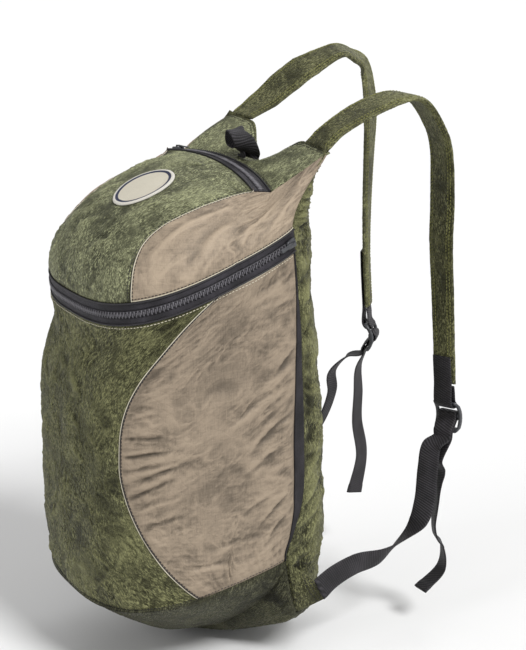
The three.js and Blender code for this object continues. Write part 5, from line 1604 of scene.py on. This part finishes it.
class SewPatch(PackOperator, bpy.types.Operator):
    """Patch: rings from the middle of its underside round its raised rim to the middle of its top"""
    bl_idname = "day_pack.sew_patch"
    bl_label = "Sew Patch"

    def execute(self, context):
        sizes, colours = chosen(context)
        lid = sewn("lid")
        radius = sizes["patch"] / 2
        share, lift = PATCH_SECTION["share"], PATCH_SECTION["lift"]
        turn = np.linspace(0, 2 * np.pi, PATCH_SIDES, endpoint=False)
        u, v = seated(share[:, None] * radius, turn[None, :])
        s = (u / lid_seam(v) + 1) / 2
        flat = s.ravel(), v.ravel()
        seat, normal = lid.at(*flat), unit(lid.at(*flat, lid.normal))
        rings = seat + normal * np.repeat(lift, PATCH_SIDES)[:, None]
        rings = rings.reshape(len(share), PATCH_SIDES, 3)
        uv = share[:, None, None] * radius * MM * np.stack([np.cos(turn), np.sin(turn)], -1)[None]
        mesh = tube_mesh("patch", rings, uv)
        parts = (colours[f"patch_{part}"] for part in ("rim", "ring", "ground"))
        weave = finish_of("patch_cloth", patch_weave, *parts)
        add_piece("patch_disc", mesh, weave, ["patch"])
        return {"FINISHED"}


def band_section(half_width, half_thickness, power, sides):
    """Flat band's outline: even steps across both faces, thinning to its edges by a power."""
    x = np.sin(np.linspace(-np.pi / 2, np.pi / 2, sides // 2 + 1))
    y = (1 - np.abs(x) ** power) ** 0.5
    around = np.concatenate([np.stack([x, y], -1), np.stack([x[::-1], -y[::-1]], -1)[1:-1]])
    return around * [half_width, half_thickness]


def band_rings(run, power, sides, thickness=None):
    """Rings of a band's outline along a run, and the flat place of each point."""
    outline = band_section(1.0, 1.0, power, sides)
    wide = run.widths[:, None] / 2 * outline[None, :, 0]
    thick = (run.thickness / 2 if thickness is None else thickness[:, None] / 2) * outline[None, :, 1]
    rings = run.places[:, None] + wide[..., None] * run.across[:, None] + thick[..., None] * run.up[:, None]
    uv = np.stack([wide, np.broadcast_to(run.lengths[:, None], wide.shape)], -1)
    return rings, uv, outline


# Stitch rows of a strap: distance from its edge and depth in its face
STRAP_ROWS = ((3.2, 0.3), (6.2, -0.05))
# Stations and points round each band, and how far its first ring is drawn back into its seam
STRAP_STATIONS, STRAP_SIDES, STRAP_TUCK = 380, 56, 1.8
WEBBING_STATIONS, TAILED_STATIONS, WEBBING_SIDES, WEBBING_TUCK = 160, 520, 28, 3.0


class MakeStraps(PackOperator, bpy.types.Operator):
    """Shoulder straps: a padded outline carried along each run, puckered at its stitch rows"""
    bl_idname = "day_pack.make_straps"
    bl_label = "Make Straps"

    def execute(self, context):
        _, colours = chosen(context)
        olive = finish_of("strap_nylon", crinkled_nylon, colours["olive"], 0.9)
        for side, hand in HANDS:
            run = strap_run(side, STRAP_STATIONS)
            rings, flat, outline = band_rings(run, 4.0, STRAP_SIDES)
            x, y = flat[..., 0], flat[..., 1]
            half = run.widths[:, None] / 2
            far = half - np.abs(x)
            face = np.sign(outline[None, :, 1])
            wide, creases, small, fine = crumple(x + 60 * face, y, 101 + side, 0.8)
            edge = np.exp(-((far - 4.6) / 2.6) ** 2)
            pucker = ridges(y / 6.5 + 0.05 * x, x / 9 + 7 * face, 107 + side, 2.2)
            groove = np.exp(-((far - 3.2) / 1.0) ** 2)
            flatness = np.abs(outline[None, :, 1]) ** 0.5
            tiny = 0.5 * creases + 0.32 * small + 0.1 * fine + 0.9 * edge * (pucker - 0.35)
            high = flatness * (0.5 * wide + tiny - 0.7 * groove)
            rings = rings + run.up[:, None] * (high * face)[..., None]
            wobble = 0.35 * noise(y / 9, 3 + 0 * y, 113 + side) * np.abs(outline[None, :, 0]) ** 6
            rings = rings + run.across[:, None] * (wobble * np.sign(x))[..., None]
            rings[0] -= run.along[0] * STRAP_TUCK
            mesh = tube_mesh(f"strap_{hand}", rings, flat * MM, tiny)
            strap = add_piece(f"strap_{hand}_cloth", mesh, olive, [f"strap_{hand}"])
            rows = []
            for sign, way, (inset, sunk) in itertools.product((1, -1), (1, -1), STRAP_ROWS):
                aside = (run.widths / 2 - inset) * sign
                share = np.abs(aside) / (run.widths / 2)
                over = way * (run.thickness / 2 * (1 - share ** 4) ** 0.5 - sunk)
                line = run.places + run.across * aside[:, None] + run.up * over[:, None]
                rows.append((line, run.up * way))
            SEWN[f"strap_rows_{hand}"] = rows
        return {"FINISHED"}


class MakeWebbing(PackOperator, bpy.types.Operator):
    """Webbing: flat outlines carried along the runs of the strap ends, the lower webbing and the loop"""
    bl_idname = "day_pack.make_webbing"
    bl_label = "Make Webbing"

    def execute(self, context):
        _, colours = chosen(context)
        black = finish_of("black_webbing", woven, colours["black"], 0.0023, 0.9)
        runs = [("haul_loop", haul_loop_run(WEBBING_STATIONS), 0.0)]
        for side, hand in HANDS:
            buckle = BuckleFrame(side)
            runs.append((f"strap_end_{hand}", strap_end_run(buckle, WEBBING_STATIONS), 0.0))
            tailed = lower_webbing_run(side, buckle, TAILED_STATIONS)
            runs.append((f"lower_webbing_{hand}", tailed, 9.0))
        for name, run, hem in runs:
            fold = smooth((run.lengths - run.lengths[-1] + hem) / 1.5) if hem else 0.0 * run.lengths
            thickness = run.thickness * (1 + 0.9 * fold)
            rings, flat, _ = band_rings(run, 10.0, WEBBING_SIDES, thickness)
            if hem:
                rings[0] -= run.along[0] * WEBBING_TUCK
            mesh = tube_mesh(name, rings, flat * MM)
            add_piece(f"{name}_webbing", mesh, black, [name])
        return {"FINISHED"}


# Lines of a buckle's grid between its slots' edges, and its bevel
BUCKLE_LINES, BUCKLE_BEVEL = (5.0, 8.0), 0.9


class MouldBuckles(PackOperator, bpy.types.Operator):
    """Ladder-lock buckles: an arched plate on a grid with two slots left open, bevelled"""
    bl_idname = "day_pack.mould_buckles"
    bl_label = "Mould Buckles"

    def execute(self, context):
        _, colours = chosen(context)
        plastic = finish_of("buckle_plastic", moulded, colours["plastic"], 0.36)
        slot_half = WEBBING_WIDTH / 2 + 1
        x = np.array([-BUCKLE_WIDTH / 2, -slot_half, slot_half, BUCKLE_WIDTH / 2])
        high = np.array([SLOT_LOW, *BUCKLE_LINES, SLOT_HIGH, BUCKLE_LENGTH / 2])
        y = np.concatenate([-high[::-1], high])
        i, j = np.meshgrid(np.arange(3), np.arange(len(y) - 1), indexing="ij")
        middle = np.abs((y[:-1] + y[1:]) / 2)[j]
        solid = ~((i == 1) & (middle > SLOT_LOW) & (middle < SLOT_HIGH))
        for side, hand in HANDS:
            buckle = BuckleFrame(side)
            gx, gy = np.meshgrid(x, y, indexing="ij")
            outer = (np.abs(gx) > slot_half) & (np.abs(gy) > SLOT_HIGH)
            corner = 0.35 * BUCKLE_BAR * outer
            along, aside = gy - np.sign(gy) * corner, gx - np.sign(gx) * corner
            layers = [buckle.place(along, arch_at(gy) + k * BUCKLE_THICKNESS / 2, aside) for k in (1, -1)]
            quads = self.faces(i, j, solid, len(y))
            mesh = new_mesh(f"buckle_{hand}", np.concatenate([p.reshape(-1, 3) for p in layers]), quads)
            piece = add_piece(f"buckle_{hand}_moulded", mesh, plastic, [f"buckle_{hand}"])
            bevel = piece.modifiers.new("rounded", "BEVEL")
            bevel.width, bevel.segments = BUCKLE_BEVEL * MM, 3
            bevel.limit_method, bevel.angle_limit = "ANGLE", 0.7
        return {"FINISHED"}

    def faces(self, i, j, solid, rows):
        """Top, bottom and side faces of the cells that are solid."""
        half = 4 * rows
        a, b, c, d = (i * rows + j, (i + 1) * rows + j, (i + 1) * rows + j + 1, i * rows + j + 1)
        padded = np.pad(solid, 1)
        faces = [np.stack([a, b, c, d], -1)[solid], np.stack([a, d, c, b], -1)[solid] + half]
        for p, q, open_side in (
            (a, b, ~padded[1:-1, :-2]), (b, c, ~padded[2:, 1:-1]),
            (c, d, ~padded[1:-1, 2:]), (d, a, ~padded[:-2, 1:-1]),
        ):
            pick = solid & open_side
            faces.append(np.stack([q, p, p + half, q + half], -1)[pick])
        return np.concatenate(faces)


# Rows of stitches: a panel, its edge and the distance from it; the second table has both hands
MIDDLE_ROWS = (
    ("front_panel", "foot", 2.4), ("lid", "left", 2.0), ("lid", "right", 2.0),
    ("yoke", "top", 2.4), ("yoke", "top", 4.6), ("yoke", "foot", 2.2),
)
SIDE_ROWS = (
    ("side_lower", "left", 2.2), ("side_lower", "foot", 2.4), ("side_upper", "left", 2.2),
    ("side_upper", "foot", 2.6), ("wing", "right", 2.0), ("wing", "right", 6.0), ("wing", "right", 10.0),
)
LIGHT_INSET = 2.6
# Cords along the side panels' seams: panel, edge, distance from it, radius and thread. The cream cord on
# the crescent seam is a painted highlight: a light line where the seam's folded edge catches the light
SIDE_CORDS = {
    "crescent_piping": ("side_lower", "left", 0.1, 0.5, "cream"),
    "crescent_cord": ("side_lower", "left", 1.1, 0.4, "dark"),
    "lid_piping": ("side_upper", "left", 0.9, 0.4, "cream"),
    "lid_cord": ("side_upper", "left", 0.1, 0.4, "dark"),
    "zip_piping": ("side_upper", "foot", 1.0, 0.4, "cream"),
    "lower_piping": ("side_lower", "top", 0.6, 0.4, "cream"),
}
# Cords along the tapes of the zips: distance from the edge, lift and radius
TAPE_CORD = (0.2, 0.5, 0.8)
CORD_LIFT = 0.3


class SewStitches(PackOperator, bpy.types.Operator):
    """Stitches and cords: rows of short spindles beside the seams, and thin cords along them"""
    bl_idname = "day_pack.sew_stitches"
    bl_label = "Sew Stitches"

    def execute(self, context):
        sizes, colours = chosen(context)
        threads = {
            "dark": finish_of("dark_thread", thread, colours["black"]),
            "cream": finish_of("cream_thread", thread, colours["cream"]),
            "strap": finish_of("olive_thread", thread, shaded(colours["olive"], "strap_thread")),
        }
        run = sizes["stitch"], sizes["stitch_gap"], sizes["stitch_radius"]
        line = {name: cloth.line for name, cloth in SEWN.items() if isinstance(cloth, Cloth)}
        dark = [line[panel](edge, inset) for panel, edge, inset in MIDDLE_ROWS]
        cream = [line["front_panel"]("top", LIGHT_INSET)]
        for _, hand in HANDS:
            dark += [line[f"{panel}_{hand}"](edge, inset) for panel, edge, inset in SIDE_ROWS]
            cream.append(line[f"side_lower_{hand}"]("top", LIGHT_INSET))
        straps = sewn("strap_rows_right") + sewn("strap_rows_left")
        for name, rows in (("dark", dark), ("cream", cream), ("strap", straps)):
            mesh = stitch_mesh(f"{name}_stitches", rows, *run)
            add_piece(f"{name}_stitches", mesh, threads[name])
        for _, hand in HANDS:
            for part, (panel, edge, inset, radius, colour) in SIDE_CORDS.items():
                path, up = line[f"{panel}_{hand}"](edge, inset)
                mesh = cord_mesh(f"{part}_{hand}", path + up * CORD_LIFT, radius)
                add_piece(f"{part}_{hand}", mesh, threads[colour])
        inset, lift, radius = TAPE_CORD
        for name in ZIPS:
            for part, edge in (("tape_lower", "foot"), ("tape_upper", "top")):
                path, up = line[f"{name}_{part}"](edge, inset)
                mesh = cord_mesh(f"{name}_{part}_edge", path + up * lift, radius)
                add_piece(f"{name}_{part}_edge", mesh, threads["dark"])
        return {"FINISHED"}


CAMERA = {"azimuth": 62.0, "elevation": 15.0, "distance": 1.5, "lens": 93.05}
TARGET = Vector((0.020, -0.110, -0.199))
FLOOR_GAP = 0.004
FLOOR_REACH = 60.0
# Lamps: azimuth and elevation in degrees, angle across in degrees, strength
LAMPS = (("key", 104.0, 47.0, 18.0, 2.8), ("fill", 8.0, 30.0, 30.0, 0.6), ("rear", 215.0, 35.0, 40.0, 0.8))
SKY = 0.42


def direction(azimuth, elevation):
    """Way from the pack, by degrees round from its front and up from level."""
    azimuth, elevation = math.radians(azimuth), math.radians(elevation)
    return Vector((
        math.sin(azimuth) * math.cos(elevation),
        -math.cos(azimuth) * math.cos(elevation),
        math.sin(elevation),
    ))


class SetStage(PackOperator, bpy.types.Operator):
    """Stage: a pale floor, soft lamps and the camera at the photograph's angle"""
    bl_idname = "day_pack.set_stage"
    bl_label = "Set Stage"

    def execute(self, context):
        scene = context.scene
        level = -MOUNT[2] * MM - FLOOR_GAP
        self.floor(level)
        back = direction(CAMERA["azimuth"], CAMERA["elevation"])
        data = bpy.data.cameras.new("camera")
        data.lens, data.sensor_width, data.sensor_fit = CAMERA["lens"], 36.0, "AUTO"
        data.clip_end = 200.0
        camera = bpy.data.objects.new("camera", data)
        camera.location = TARGET + back * CAMERA["distance"]
        camera.rotation_euler = back.to_track_quat("Z", "Y").to_euler()
        scene.collection.objects.link(camera)
        scene.camera = camera
        for lamp in LAMPS:
            self.lamp(*lamp)
        world = bpy.data.worlds.new("studio")
        world.use_nodes = True
        world.node_tree.nodes["Background"].inputs["Color"].default_value = (1.0, 1.0, 1.0, 1.0)
        world.node_tree.nodes["Background"].inputs["Strength"].default_value = SKY
        scene.world = world
        scene.view_settings.view_transform = "Standard"
        return {"FINISHED"}

    def floor(self, level):
        x, y = np.meshgrid([-FLOOR_REACH, FLOOR_REACH], [-FLOOR_REACH, FLOOR_REACH], indexing="ij")
        points = xyz(x, y, level).reshape(-1, 3) / MM + MOUNT
        mesh = new_mesh("floor", points, [[0, 2, 3, 1]])
        mesh.materials.append(matt("floor", (0.78, 0.78, 0.78), 0.9))
        floor = bpy.data.objects.new("floor", mesh)
        bpy.context.scene.collection.objects.link(floor)

    def lamp(self, name, azimuth, elevation, angle, strength):
        """A soft distant lamp from a direction."""
        data = bpy.data.lights.new(name, "SUN")
        data.angle, data.energy = math.radians(angle), strength
        lamp = bpy.data.objects.new(name, data)
        lamp.rotation_euler = direction(azimuth, elevation).to_track_quat("Z", "Y").to_euler()
        bpy.context.scene.collection.objects.link(lamp)


STEPS = (
    SetStage, SewPanels, SewBase, SewZips, FitSliders, SewBindings, SewPatch, MakeStraps, MakeWebbing,
    MouldBuckles, SewStitches,
)


class DayPackPanel(bpy.types.Panel):
    """Sidebar panel that lists the steps with the sizes and colours"""
    bl_idname = "VIEW3D_PT_day_pack"
    bl_label = "Day Pack"
    bl_space_type = "VIEW_3D"
    bl_region_type = "UI"
    bl_category = "Day Pack"

    def draw(self, context):
        column_of_steps = self.layout.column()
        for step in STEPS:
            column_of_steps.operator(step.bl_idname)
        for group in (context.scene.day_pack_sizes, context.scene.day_pack_colours):
            box = self.layout.box()
            for key in type(group).__annotations__:
                box.prop(group, key)


CLASSES = (DayPackSizes, DayPackColours, *STEPS, DayPackPanel)


def register():
    for cls in CLASSES:
        bpy.utils.register_class(cls)
    bpy.types.Scene.day_pack_sizes = bpy.props.PointerProperty(type=DayPackSizes)
    bpy.types.Scene.day_pack_colours = bpy.props.PointerProperty(type=DayPackColours)


def unregister():
    del bpy.types.Scene.day_pack_sizes
    del bpy.types.Scene.day_pack_colours
    for cls in reversed(CLASSES):
        bpy.utils.unregister_class(cls)


def main():
    register()
    for step in STEPS:
        group, name = step.bl_idname.split(".")
        getattr(getattr(bpy.ops, group), name)()


if __name__ == "__main__":
    main()
